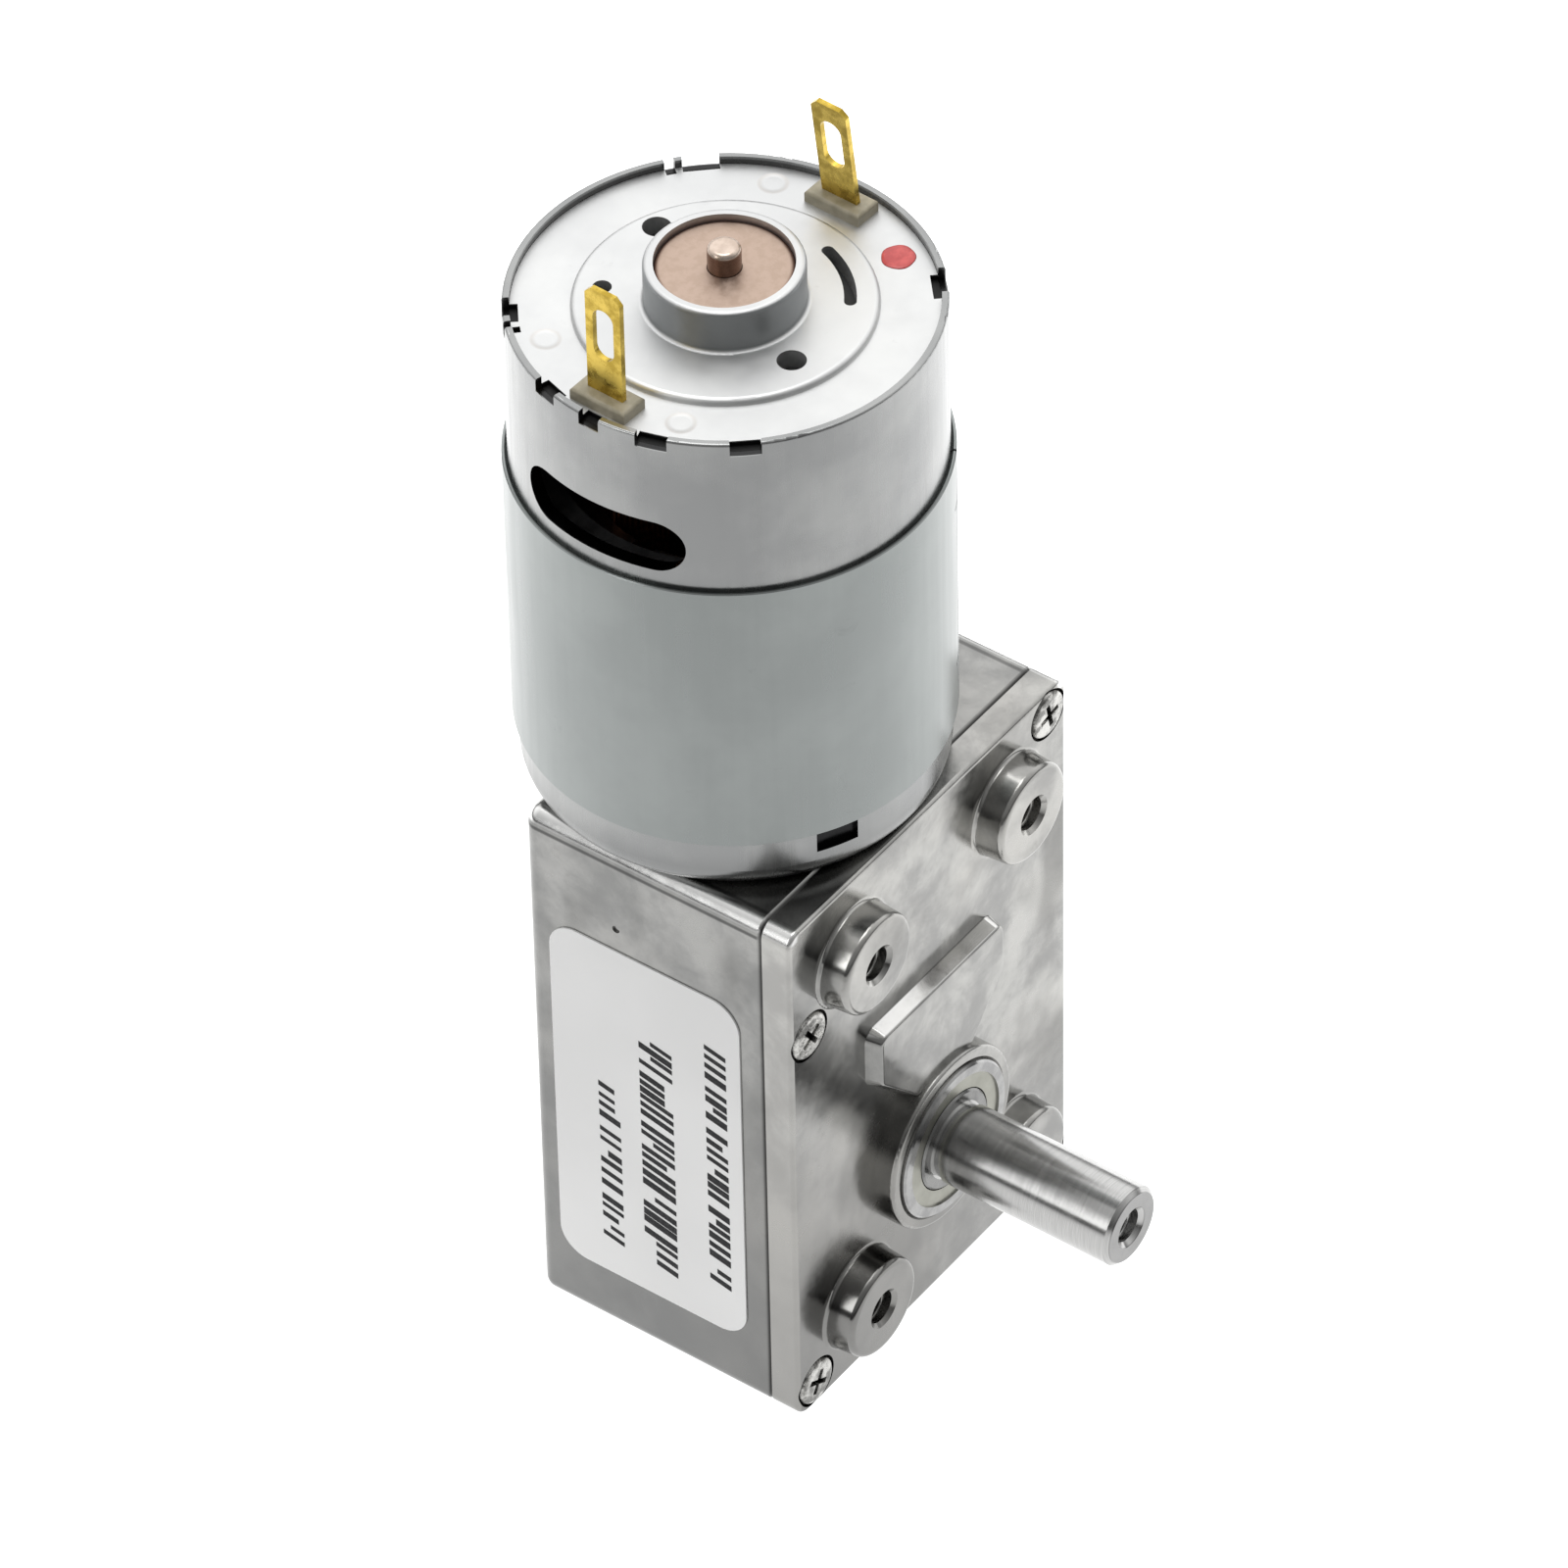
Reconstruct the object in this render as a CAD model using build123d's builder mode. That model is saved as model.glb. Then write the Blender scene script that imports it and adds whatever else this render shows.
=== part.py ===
from build123d import *
from math import atan, atan2, cos, degrees, hypot, pi, radians, sin, sqrt, tan
import os

os.makedirs("parts", exist_ok=True)

# Right-angle worm gearbox with a round brushed DC motor standing on its top end.
# Origin: the centre of the four mounting holes, on the plane of their bosses' faces.
# +Z is up along the motor's axis, and the output shaft points to -Y. All sizes are in mm.

# ---- driving dimensions: gearbox
BOX_W = 32.0            # along X
BOX_H = 46.0            # along Z
BOX_D = 22.3            # cover plate's face to the back, along Y
BOX_CORNER = 1.2
COVER_T = 2.5
SIDE_WALL = 1.8
BACK_WALL = 2.0
TOP_WALL = 2.4
BOTTOM_WALL = 2.0
BOSS_H = 2.3            # mounting bosses stand this far off the cover plate
BOSS_R = 3.95           # at their foot
BOSS_DRAFT = 4          # degrees
HOLE_SPAN_X = 18.0
HOLE_SPAN_Z = 33.0
M3_TAPPED_R = 1.25
SCREW_SPOTS = [(-13.9, 12.5), (13.9, 20.9), (-13.9, -20.9), (13.9, -20.9)]
SCREW_L = 8.0
SEAM_CHAMFER = 0.2      # on both sides of the joint between cover and housing

# ---- driving dimensions: output shaft and its ball bearing
SHAFT_Z = -7.5
SHAFT_R = 3.0
SHAFT_OUT = 14.5        # free length in front of the mounting plane
BEARING_R = 6.0
BEARING_W = 4.0
BEARING_BOSS_R = 7.0

# ---- driving dimensions: motor
MOTOR_X = -2.4
CAN_R = 14.7
CAN_WALL = 1.0
CAN_L = 40.0
RING_T = 0.4
RING_FROM = 4.6         # above the gearbox's top
RING_L = 22.7
TERMINAL_TURN = radians(-2)             # of the terminals' line, about the motor's axis
ROTOR_SHAFT_R = 1.15
STACK_R = 11.0
MAGNET_IN_R = 11.5

# ---- driving dimensions: gear train
WORM_MODULE = 0.6
WORM_PITCH_R = 3.0
WHEEL_TEETH = 20
FIRST_MODULE = 0.5
FIRST_PINION_TEETH = 12
SECOND_GEAR_TEETH = 33
SECOND_MODULE = 0.7
SECOND_PINION_TEETH = 12
OUTPUT_GEAR_TEETH = 30
PIN_R = 1.0
RUNNING = 0.04          # radial clearance of a turning fit
GEAR_PLAY = 0.12        # taken off each tooth's thickness

# ---- derived places
FACE_Y = BOSS_H                         # cover plate's front face
SEAM_Y = FACE_Y + COVER_T               # where the cover meets the housing
BACK_Y = FACE_Y + BOX_D
INNER_BACK_Y = BACK_Y - BACK_WALL
TOP_Z = BOX_H / 2
BOTTOM_Z = -BOX_H / 2
INNER_TOP_Z = TOP_Z - TOP_WALL
INNER_BOTTOM_Z = BOTTOM_Z + BOTTOM_WALL
INNER_HALF_W = BOX_W / 2 - SIDE_WALL
MOTOR_Y = FACE_Y + 14.3
RIM_Z = TOP_Z + CAN_L
CAN_IN_R = CAN_R - CAN_WALL
BEARING_FRONT_Y = 0.3                   # the bearing stands a little out of its seat

WHEEL_PITCH_R = WORM_MODULE * WHEEL_TEETH / 2
WHEEL_X = MOTOR_X + WORM_PITCH_R + WHEEL_PITCH_R
WHEEL_Z = 13.5
FIRST_DISTANCE = FIRST_MODULE * (FIRST_PINION_TEETH + SECOND_GEAR_TEETH) / 2
SECOND_DISTANCE = SECOND_MODULE * (SECOND_PINION_TEETH + OUTPUT_GEAR_TEETH) / 2

# The idler's axis lies where the two centre distances meet, on the motor's side.
REACH = hypot(WHEEL_X, WHEEL_Z - SHAFT_Z)
ALONG = (FIRST_DISTANCE**2 - SECOND_DISTANCE**2 + REACH**2) / (2 * REACH)
ASIDE = sqrt(FIRST_DISTANCE**2 - ALONG**2)
DOWN_X = -WHEEL_X / REACH
DOWN_Z = (SHAFT_Z - WHEEL_Z) / REACH
IDLER_X = WHEEL_X + ALONG * DOWN_X + ASIDE * DOWN_Z
IDLER_Z = WHEEL_Z + ALONG * DOWN_Z - ASIDE * DOWN_X

BOSS_SPOTS = [(x * HOLE_SPAN_X / 2, z * HOLE_SPAN_Z / 2) for x in (-1, 1) for z in (-1, 1)]
PIN_SPOTS = [(WHEEL_X, WHEEL_Z), (IDLER_X, IDLER_Z)]


def front(y):
    """Plane across the gearbox at y, seen from the front: local x is X, local y is Z."""
    return Plane.XZ.offset(-y)


def level(z):
    """Plane across the motor at height z, centred on its axis."""
    return Plane((MOTOR_X, MOTOR_Y, z))


def turned(z):
    """The same plane, turned with the terminals' line."""
    return Plane((MOTOR_X, MOTOR_Y, z), x_dir=(*polar(1, TERMINAL_TURN), 0))


def polar(radius, angle):
    return (radius * cos(angle), radius * sin(angle))


def save(piece, name):
    piece.part.label = name
    export_step(piece.part, f"parts/{name}.step")


def rings_at(piece, radius, y):
    """Circular edges of one radius at one depth."""
    edges = piece.edges().filter_by(GeomType.CIRCLE)
    return edges.filter_by(lambda e: abs(e.radius - radius) < 0.01 and abs(e.center().Y - y) < 0.01)


def rounds_at(piece, radius, z):
    """Circular edges of one radius at one height."""
    edges = piece.edges().filter_by(GeomType.CIRCLE)
    return edges.filter_by(lambda e: abs(e.radius - radius) < 0.01 and abs(e.center().Z - z) < 0.01)


# ---- gearbox housing: a cast box, open at the front
POST_R = 1.9
POST_BORE_R = 0.95
MOTOR_BOSS_R = 4.8
MOTOR_SCREW_SPAN = 16.0
MOTOR_SCREW_R = 1.2
MOTOR_SCREW_HEAD_R = 2.2
BUSH_R = 4.5
BUSH_L = 4.2
BUSH_SEAT_R = 6.4
PIN_SEAT_L = 1.4
PIN_SEAT_R = 2.3
MOTOR_SCREW_SPOTS = [(-MOTOR_SCREW_SPAN / 2, 0), (MOTOR_SCREW_SPAN / 2, 0)]
EJECTOR_MARK = (FACE_Y + 14.6, 16.0)

with BuildPart() as housing:
    with BuildSketch(front(BACK_Y)):
        RectangleRounded(BOX_W, BOX_H, BOX_CORNER)
    extrude(amount=BACK_Y - SEAM_Y)
    fillet(housing.faces().sort_by(Axis.Y)[-1].edges(), 1.0)
    chamfer(housing.faces().sort_by(Axis.Y)[0].edges(), SEAM_CHAMFER)
    with BuildSketch(front(SEAM_Y)):
        with Locations((0, (INNER_TOP_Z + INNER_BOTTOM_Z) / 2)):
            RectangleRounded(2 * INNER_HALF_W, INNER_TOP_Z - INNER_BOTTOM_Z, 1.0)
    extrude(amount=SEAM_Y - INNER_BACK_Y, mode=Mode.SUBTRACT)
    with BuildSketch(front(INNER_BACK_Y)):
        with Locations(*SCREW_SPOTS):
            Circle(POST_R)
    extrude(amount=INNER_BACK_Y - SEAM_Y)
    with BuildSketch(front(INNER_BACK_Y)):
        with Locations(*PIN_SPOTS):
            Circle(PIN_SEAT_R)
        with Locations((0, SHAFT_Z)):
            Circle(BUSH_SEAT_R)
    extrude(amount=PIN_SEAT_L)
    with BuildSketch(front(INNER_BACK_Y - PIN_SEAT_L)):
        with Locations((0, SHAFT_Z)):
            Circle(BUSH_SEAT_R)
    extrude(amount=BUSH_L - BACK_WALL - PIN_SEAT_L)
    with BuildSketch(front(SEAM_Y)):
        with Locations(*SCREW_SPOTS):
            Circle(POST_BORE_R)
    extrude(amount=-SCREW_L, mode=Mode.SUBTRACT)
    with BuildSketch(front(INNER_BACK_Y - PIN_SEAT_L)):
        with Locations(*PIN_SPOTS):
            Circle(PIN_R)
    extrude(amount=-(PIN_SEAT_L + 1.2), mode=Mode.SUBTRACT)
    with BuildSketch(front(BACK_Y)):
        with Locations((0, SHAFT_Z)):
            Circle(BUSH_R)
    extrude(amount=BUSH_L, mode=Mode.SUBTRACT)
    with BuildSketch(level(TOP_Z)):
        Circle(MOTOR_BOSS_R)
        with Locations(*MOTOR_SCREW_SPOTS):
            Circle(MOTOR_SCREW_R)
    extrude(amount=-TOP_WALL, mode=Mode.SUBTRACT)
    with BuildSketch(level(INNER_TOP_Z)):
        with Locations(*MOTOR_SCREW_SPOTS):
            Circle(MOTOR_SCREW_HEAD_R)
    extrude(amount=1.1, taper=42, mode=Mode.SUBTRACT)
    with BuildSketch(Plane.YZ.offset(-BOX_W / 2)):
        with Locations(EJECTOR_MARK):
            Circle(0.3)
    extrude(amount=0.15, mode=Mode.SUBTRACT)
    chamfer(rings_at(housing, BUSH_R, BACK_Y), 0.3)
save(housing, "gearbox_housing")

# ---- gearbox cover: the cast front plate with its mounting bosses and bearing seat
PAD_OUTLINE = [(-7.7, 7.7), (7.3, 7.7), (7.3, 3.0), (3.4, -1.5), (-3.4, -1.5), (-7.7, 3.0)]
PAD_CORNER = 1.1
PAD_H = 1.2
BEARING_BOSS_H = 1.7
BEARING_LIP_R = 5.2
SCREW_DEEP = 0.9
SCREW_SEAT_R = 2.0
MOUNT_HOLE_L = 4.4
PIN_SOCKET_L = 1.5

with BuildPart() as cover:
    with BuildSketch(front(SEAM_Y)):
        RectangleRounded(BOX_W, BOX_H, BOX_CORNER)
    extrude(amount=COVER_T)
    fillet(cover.faces().sort_by(Axis.Y)[0].edges(), 0.35)
    chamfer(cover.faces().sort_by(Axis.Y)[-1].edges(), SEAM_CHAMFER)
    with BuildSketch(front(FACE_Y)):
        Polygon(*PAD_OUTLINE, align=None)
        fillet(vertices().filter_by(lambda v: v.Y > 0), PAD_CORNER)
    extrude(amount=PAD_H, taper=18)
    fillet(cover.faces().filter_by(Axis.Y).sort_by(Axis.Y)[0].edges(), 0.25)
    with BuildSketch(front(FACE_Y)):
        with Locations((0, SHAFT_Z)):
            Circle(BEARING_BOSS_R)
    extrude(amount=BEARING_BOSS_H)
    fillet(rings_at(cover, BEARING_BOSS_R, FACE_Y - BEARING_BOSS_H), 0.3)
    with BuildSketch(front(FACE_Y)):
        with Locations(*BOSS_SPOTS):
            Circle(BOSS_R)
    extrude(amount=BOSS_H, taper=BOSS_DRAFT)
    fillet(rings_at(cover, BOSS_R - BOSS_H * tan(radians(BOSS_DRAFT)), 0), 0.45)
    fillet(rings_at(cover, BOSS_R, FACE_Y), 0.3)
    with BuildSketch(front(0)):
        with Locations(*BOSS_SPOTS):
            Circle(M3_TAPPED_R)
    extrude(amount=-MOUNT_HOLE_L, mode=Mode.SUBTRACT)
    chamfer(rings_at(cover, M3_TAPPED_R, 0), 0.3)
    with BuildSketch(front(FACE_Y)):
        with Locations(*SCREW_SPOTS):
            Circle(SCREW_SEAT_R)
    extrude(amount=-SCREW_DEEP, mode=Mode.SUBTRACT)
    with BuildSketch(front(FACE_Y)):
        with Locations(*SCREW_SPOTS):
            Circle(POST_BORE_R + 0.1)
    extrude(amount=-COVER_T, mode=Mode.SUBTRACT)
    with BuildSketch(front(0)):
        with Locations((0, SHAFT_Z)):
            Circle(BEARING_R)
    extrude(amount=-(BEARING_FRONT_Y + BEARING_W), mode=Mode.SUBTRACT)
    with BuildSketch(front(0)):
        with Locations((0, SHAFT_Z)):
            Circle(BEARING_LIP_R)
    extrude(amount=-SEAM_Y, mode=Mode.SUBTRACT)
    with BuildSketch(front(SEAM_Y)):
        with Locations(*PIN_SPOTS):
            Circle(PIN_R)
    extrude(amount=PIN_SOCKET_L, mode=Mode.SUBTRACT)
    chamfer(rings_at(cover, BEARING_R, FACE_Y - BEARING_BOSS_H), 0.2)
save(cover, "gearbox_cover")

# ---- four pan-head screws with a cross recess
HEAD_R = 1.85
HEAD_H = 1.05
HEAD_BACK_Y = FACE_Y + SCREW_DEEP
CROSS_L = 2.0
CROSS_W = 0.42

with BuildPart() as cover_screws:
    with BuildSketch(front(HEAD_BACK_Y)):
        with Locations(*SCREW_SPOTS):
            Circle(HEAD_R)
    extrude(amount=HEAD_H)
    fillet(rings_at(cover_screws, HEAD_R, HEAD_BACK_Y - HEAD_H), 0.4)
    with BuildSketch(front(HEAD_BACK_Y)):
        with Locations(*SCREW_SPOTS):
            Circle(POST_BORE_R)
    extrude(amount=-SCREW_L)
    for turn, spot in zip((35, 12, 62, 20), SCREW_SPOTS):
        with BuildSketch(front(HEAD_BACK_Y - HEAD_H)):
            with Locations(Location((spot[0], spot[1], 0), (0, 0, turn))):
                Rectangle(CROSS_L, CROSS_W)
                Rectangle(CROSS_W, CROSS_L)
        extrude(amount=-0.6, taper=8, mode=Mode.SUBTRACT)
save(cover_screws, "cover_screws")

# ---- label: thin rectangle on the housing's -X side
LABEL_T = 0.12
LABEL_W = 16.0
LABEL_H = 31.6
LABEL_MIDDLE = (FACE_Y + 12.3, -1.8)
with BuildPart() as label:
    with BuildSketch(Plane.YZ.offset(-BOX_W / 2)):
        with Locations(LABEL_MIDDLE):
            RectangleRounded(LABEL_W, LABEL_H, 2.3)
    extrude(amount=-LABEL_T)
save(label, "label")

# ---- output shaft: tapped end, relief in front of the bearing, groove for its retaining ring
SHAFT_END_Y = BACK_Y - 0.6
RING_GROOVE_Y = SEAM_Y + 5.2
RING_GROOVE_R = SHAFT_R - 0.4
RETAINER_T = 0.7
RELIEF_W = 0.75
RELIEF_R = SHAFT_R - 0.2
END_HOLE_L = 9.0
with BuildPart() as shaft:
    with BuildSketch(front(SHAFT_END_Y)):
        with Locations((0, SHAFT_Z)):
            Circle(SHAFT_R)
    extrude(amount=SHAFT_END_Y + SHAFT_OUT)
    chamfer(rings_at(shaft, SHAFT_R, -SHAFT_OUT), 0.35)
    chamfer(rings_at(shaft, SHAFT_R, SHAFT_END_Y), 0.3)
    with BuildSketch(front(RING_GROOVE_Y)):
        with Locations((0, SHAFT_Z)):
            Circle(SHAFT_R)
            Circle(RING_GROOVE_R, mode=Mode.SUBTRACT)
    extrude(amount=-RETAINER_T, mode=Mode.SUBTRACT)
    with BuildSketch(front(BEARING_FRONT_Y)):
        with Locations((0, SHAFT_Z)):
            Circle(SHAFT_R)
            Circle(RELIEF_R, mode=Mode.SUBTRACT)
    extrude(amount=RELIEF_W, mode=Mode.SUBTRACT)
    with BuildSketch(front(-SHAFT_OUT)):
        with Locations((0, SHAFT_Z)):
            Circle(M3_TAPPED_R)
    extrude(amount=-END_HOLE_L, mode=Mode.SUBTRACT)
    chamfer(rings_at(shaft, M3_TAPPED_R, -SHAFT_OUT), 0.35)
save(shaft, "output_shaft")

with BuildPart() as retaining_ring:
    with BuildSketch(front(RING_GROOVE_Y)):
        with Locations((0, SHAFT_Z)):
            Circle(SHAFT_R + 1.4)
            Circle(RING_GROOVE_R, mode=Mode.SUBTRACT)
        with Locations((0, SHAFT_Z + SHAFT_R + 0.5)):
            Rectangle(3.4, 3.0, mode=Mode.SUBTRACT)
    extrude(amount=-RETAINER_T)
save(retaining_ring, "retaining_ring")

# ---- front ball bearing 6 x 12 x 4
BALL_R = 0.8
BALL_RING_R = 4.5
BALLS = 9
RACE_R = BALL_R + RUNNING
INNER_OUT_R = 3.85
OUTER_IN_R = 5.15
BEARING_MID_Y = BEARING_FRONT_Y + BEARING_W / 2
BEARING_BACK_Y = BEARING_FRONT_Y + BEARING_W
SHAFT_LINE = Axis((0, 0, SHAFT_Z), (0, 1, 0))


def bearing_race(inner, outer):
    """Ring between two radii with the balls' groove rolled into it."""
    with BuildPart() as race:
        with BuildSketch(front(BEARING_BACK_Y)):
            with Locations((0, SHAFT_Z)):
                Circle(outer)
                Circle(inner, mode=Mode.SUBTRACT)
        extrude(amount=BEARING_W)
        chamfer(rings_at(race, outer, BEARING_FRONT_Y), 0.15)
        with BuildSketch(Plane.XY.offset(SHAFT_Z)):
            with Locations((BALL_RING_R, BEARING_MID_Y)):
                Circle(RACE_R)
        revolve(axis=SHAFT_LINE, mode=Mode.SUBTRACT)
    return race


bearing_outer = bearing_race(OUTER_IN_R, BEARING_R)
save(bearing_outer, "bearing_outer_ring")
bearing_inner = bearing_race(SHAFT_R, INNER_OUT_R)
save(bearing_inner, "bearing_inner_ring")

with BuildPart() as bearing_balls:
    with BuildSketch(Plane.XY.offset(SHAFT_Z)):
        with BuildLine():
            meridian = CenterArc((BALL_RING_R, BEARING_MID_Y), BALL_R, -90, 180)
            Line(meridian @ 0, meridian @ 1)
        make_face()
    revolve(axis=Axis((BALL_RING_R, BEARING_MID_Y, SHAFT_Z), (0, 1, 0)))
    first_ball = bearing_balls.part
    for n in range(1, BALLS):
        add(first_ball.rotate(SHAFT_LINE, n * 360 / BALLS))
save(bearing_balls, "bearing_balls")

CROWN_BACK = 1.45       # the cage's band runs behind the balls
with BuildPart() as bearing_cage:
    with BuildSketch(front(BEARING_MID_Y + CROWN_BACK)):
        with Locations((0, SHAFT_Z)):
            Circle(BALL_RING_R + 0.35)
            Circle(BALL_RING_R - 0.35, mode=Mode.SUBTRACT)
    extrude(amount=CROWN_BACK + 0.3)
    for n in range(BALLS):
        pocket = Pos(0, BEARING_MID_Y, SHAFT_Z) * Rot(0, n * 360 / BALLS, 0) * Pos(BALL_RING_R, 0, 0)
        with Locations(pocket * Rot(0, 90, 0)):
            Cylinder(BALL_R + 0.06, 2.0, mode=Mode.SUBTRACT)
save(bearing_cage, "bearing_cage")

SHIELD_T = 0.2
with BuildPart() as bearing_shields:
    for y in (BEARING_FRONT_Y + 0.35, BEARING_BACK_Y - 0.15):
        with BuildSketch(front(y)):
            with Locations((0, SHAFT_Z)):
                Circle(OUTER_IN_R)
                Circle(INNER_OUT_R + 0.08, mode=Mode.SUBTRACT)
        extrude(amount=SHIELD_T)
save(bearing_shields, "bearing_shields")

# ---- rear bush of the output shaft
with BuildPart() as rear_bush:
    with BuildSketch(front(BACK_Y - 0.3)):
        with Locations((0, SHAFT_Z)):
            Circle(BUSH_R)
    extrude(amount=BUSH_L - 0.3)
    with BuildSketch(front(BACK_Y - BUSH_L)):
        with Locations((0, SHAFT_Z)):
            Circle(BUSH_R + 1.1)
    extrude(amount=0.8)
    with BuildSketch(front(BACK_Y)):
        with Locations((0, SHAFT_Z)):
            Circle(SHAFT_R + RUNNING)
    extrude(amount=BUSH_L + 1.0, mode=Mode.SUBTRACT)
save(rear_bush, "rear_bush")


# ---- involute gears
PRESSURE = radians(20)


def involute(base_r, radius):
    """Angle that the involute has turned through by the time it reaches a radius."""
    roll = sqrt(max((radius / base_r) ** 2 - 1, 0))
    return roll - atan(roll)


def gear_outline(module, teeth, tip, root, turn):
    """Closed outline of a spur gear; a tooth points at the angle turn."""
    pitch_r = module * teeth / 2
    base_r = pitch_r * cos(PRESSURE)
    tip_r = pitch_r + tip * module
    root_r = pitch_r - root * module
    foot_r = max(base_r, root_r)
    half = pi / (2 * teeth) - GEAR_PLAY / (2 * pitch_r) + involute(base_r, pitch_r)
    foot = half - involute(base_r, foot_r)
    step = 2 * pi / teeth
    flank = [foot_r + (tip_r - foot_r) * k / 3 for k in range(4)]
    with BuildLine() as outline:
        for n in range(teeth):
            middle = turn + n * step
            rise = [polar(r, middle - half + involute(base_r, r)) for r in flank]
            fall = [polar(r, middle + half - involute(base_r, r)) for r in reversed(flank)]
            valley = [polar(root_r, middle + a) for a in (foot, step / 2, step - foot)]
            if foot_r - root_r > 0.01:
                Line(polar(root_r, middle - foot), rise[0])
                Line(fall[-1], valley[0])
            Spline(*rise)
            ThreePointArc(rise[-1], polar(tip_r, middle), fall[0])
            Spline(*fall)
            ThreePointArc(*valley)
    return outline.line


# Angles of the two centre lines, seen from the front.
TO_IDLER = atan2(IDLER_Z - WHEEL_Z, IDLER_X - WHEEL_X)
TO_OUTPUT = atan2(SHAFT_Z - IDLER_Z, -IDLER_X)
BIG_TIP = 0.78
BIG_ROOT = 1.25
SMALL_TIP = 0.95
SMALL_ROOT = 1.1

# ---- output gear, pressed on the shaft
OUTPUT_GEAR_Y = SEAM_Y + 5.0
OUTPUT_GEAR_W = 4.0
with BuildPart() as output_gear:
    with BuildSketch(front(OUTPUT_GEAR_Y)):
        with Locations((0, SHAFT_Z)):
            half_step = pi / OUTPUT_GEAR_TEETH
            add(gear_outline(SECOND_MODULE, OUTPUT_GEAR_TEETH, BIG_TIP, BIG_ROOT,
                             TO_OUTPUT + pi + half_step))
            make_face()
            Circle(SHAFT_R, mode=Mode.SUBTRACT)
    extrude(amount=OUTPUT_GEAR_W)
    with BuildSketch(front(OUTPUT_GEAR_Y)):
        with Locations((0, SHAFT_Z)):
            Circle(8.6)
            Circle(4.6, mode=Mode.SUBTRACT)
    extrude(amount=1.0, mode=Mode.SUBTRACT)
save(output_gear, "output_gear")

# ---- idler: second pinion, with the second gear pressed on its sleeve
SECOND_GEAR_Y = 12.5
SECOND_GEAR_W = 1.8
SLEEVE_END_Y = INNER_BACK_Y - PIN_SEAT_L - 0.15
SLEEVE_START_Y = SEAM_Y + 0.15
IDLER_SLEEVE_R = 2.2
with BuildPart() as second_gear:
    with BuildSketch(front(SECOND_GEAR_Y)):
        with Locations((IDLER_X, IDLER_Z)):
            half_step = pi / SECOND_GEAR_TEETH
            add(gear_outline(FIRST_MODULE, SECOND_GEAR_TEETH, BIG_TIP, BIG_ROOT,
                             TO_IDLER + pi + half_step))
            make_face()
            Circle(IDLER_SLEEVE_R, mode=Mode.SUBTRACT)
    extrude(amount=SECOND_GEAR_W)
save(second_gear, "second_gear")

with BuildPart() as second_pinion:
    with BuildSketch(front(SECOND_GEAR_Y - SECOND_GEAR_W)):
        with Locations((IDLER_X, IDLER_Z)):
            add(gear_outline(SECOND_MODULE, SECOND_PINION_TEETH, SMALL_TIP, SMALL_ROOT, TO_OUTPUT))
            make_face()
    extrude(amount=SECOND_GEAR_Y - SECOND_GEAR_W - SLEEVE_START_Y)
    with BuildSketch(front(SECOND_GEAR_Y)):
        with Locations((IDLER_X, IDLER_Z)):
            Circle(IDLER_SLEEVE_R)
    extrude(amount=SECOND_GEAR_W)
    with BuildSketch(front(SLEEVE_END_Y)):
        with Locations((IDLER_X, IDLER_Z)):
            Circle(1.55)
    extrude(amount=SLEEVE_END_Y - SECOND_GEAR_Y)
    with BuildSketch(front(SLEEVE_END_Y)):
        with Locations((IDLER_X, IDLER_Z)):
            Circle(PIN_R + RUNNING)
    extrude(amount=SLEEVE_END_Y - SLEEVE_START_Y, mode=Mode.SUBTRACT)
save(second_pinion, "second_pinion")

# ---- worm: one right-hand thread, so its lead is its pitch; a crest faces the wheel's centre
LEAD = pi * WORM_MODULE
WORM_L = 9.2
WORM_ROOT_R = 2.3
WORM_TIP_R = 3.5
THREAD_FOOT_R = 2.2
THREAD_TURNS = 4
WORM_BOTTOM_Z = WHEEL_Z - WORM_L / 2
with BuildPart() as worm:
    with BuildSketch(level(WORM_BOTTOM_Z)):
        Circle(WORM_ROOT_R)
    extrude(amount=WORM_L)
    with BuildLine():
        thread_path = Helix(
            pitch=LEAD,
            height=THREAD_TURNS * LEAD,
            radius=THREAD_FOOT_R,
            center=(MOTOR_X, MOTOR_Y, WHEEL_Z - THREAD_TURNS * LEAD / 2),
        )
    with BuildSketch(Plane(origin=thread_path @ 0, x_dir=(1, 0, 0), z_dir=thread_path % 0)):
        with BuildLine():
            reach = WORM_TIP_R - THREAD_FOOT_R
            Polyline((0, -0.68), (reach, -0.26), (reach, 0.26), (0, 0.68), close=True)
        make_face()
    sweep(path=thread_path, is_frenet=True)
    with BuildSketch(level(WORM_BOTTOM_Z)):
        Circle(ROTOR_SHAFT_R)
    extrude(amount=WORM_L, mode=Mode.SUBTRACT)
save(worm, "worm")

# ---- worm wheel: teeth slanted at the worm's lead angle, pressed on the first pinion's sleeve
WHEEL_W = 4.0
WHEEL_BACK_Y = MOTOR_Y + WHEEL_W / 2
WHEEL_SLEEVE_R = 2.6
SLANT = LEAD / (2 * pi * WORM_PITCH_R)
WHEEL_TWIST = SLANT * WHEEL_W / WHEEL_PITCH_R
with BuildSketch(front(WHEEL_BACK_Y)) as wheel_face:
    with Locations((WHEEL_X, WHEEL_Z)):
        add(gear_outline(WORM_MODULE, WHEEL_TEETH, 0.85, 1.2, pi / WHEEL_TEETH - WHEEL_TWIST / 2))
        make_face()
with BuildPart() as worm_wheel:
    add(Solid.extrude_linear_with_rotation(
        wheel_face.sketch.face(),
        center=(WHEEL_X, WHEEL_BACK_Y, WHEEL_Z),
        normal=(0, -WHEEL_W, 0),
        angle=degrees(WHEEL_TWIST),
    ))
    with BuildSketch(front(WHEEL_BACK_Y)):
        with Locations((WHEEL_X, WHEEL_Z)):
            Circle(WHEEL_SLEEVE_R)
    extrude(amount=WHEEL_W, mode=Mode.SUBTRACT)
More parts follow.
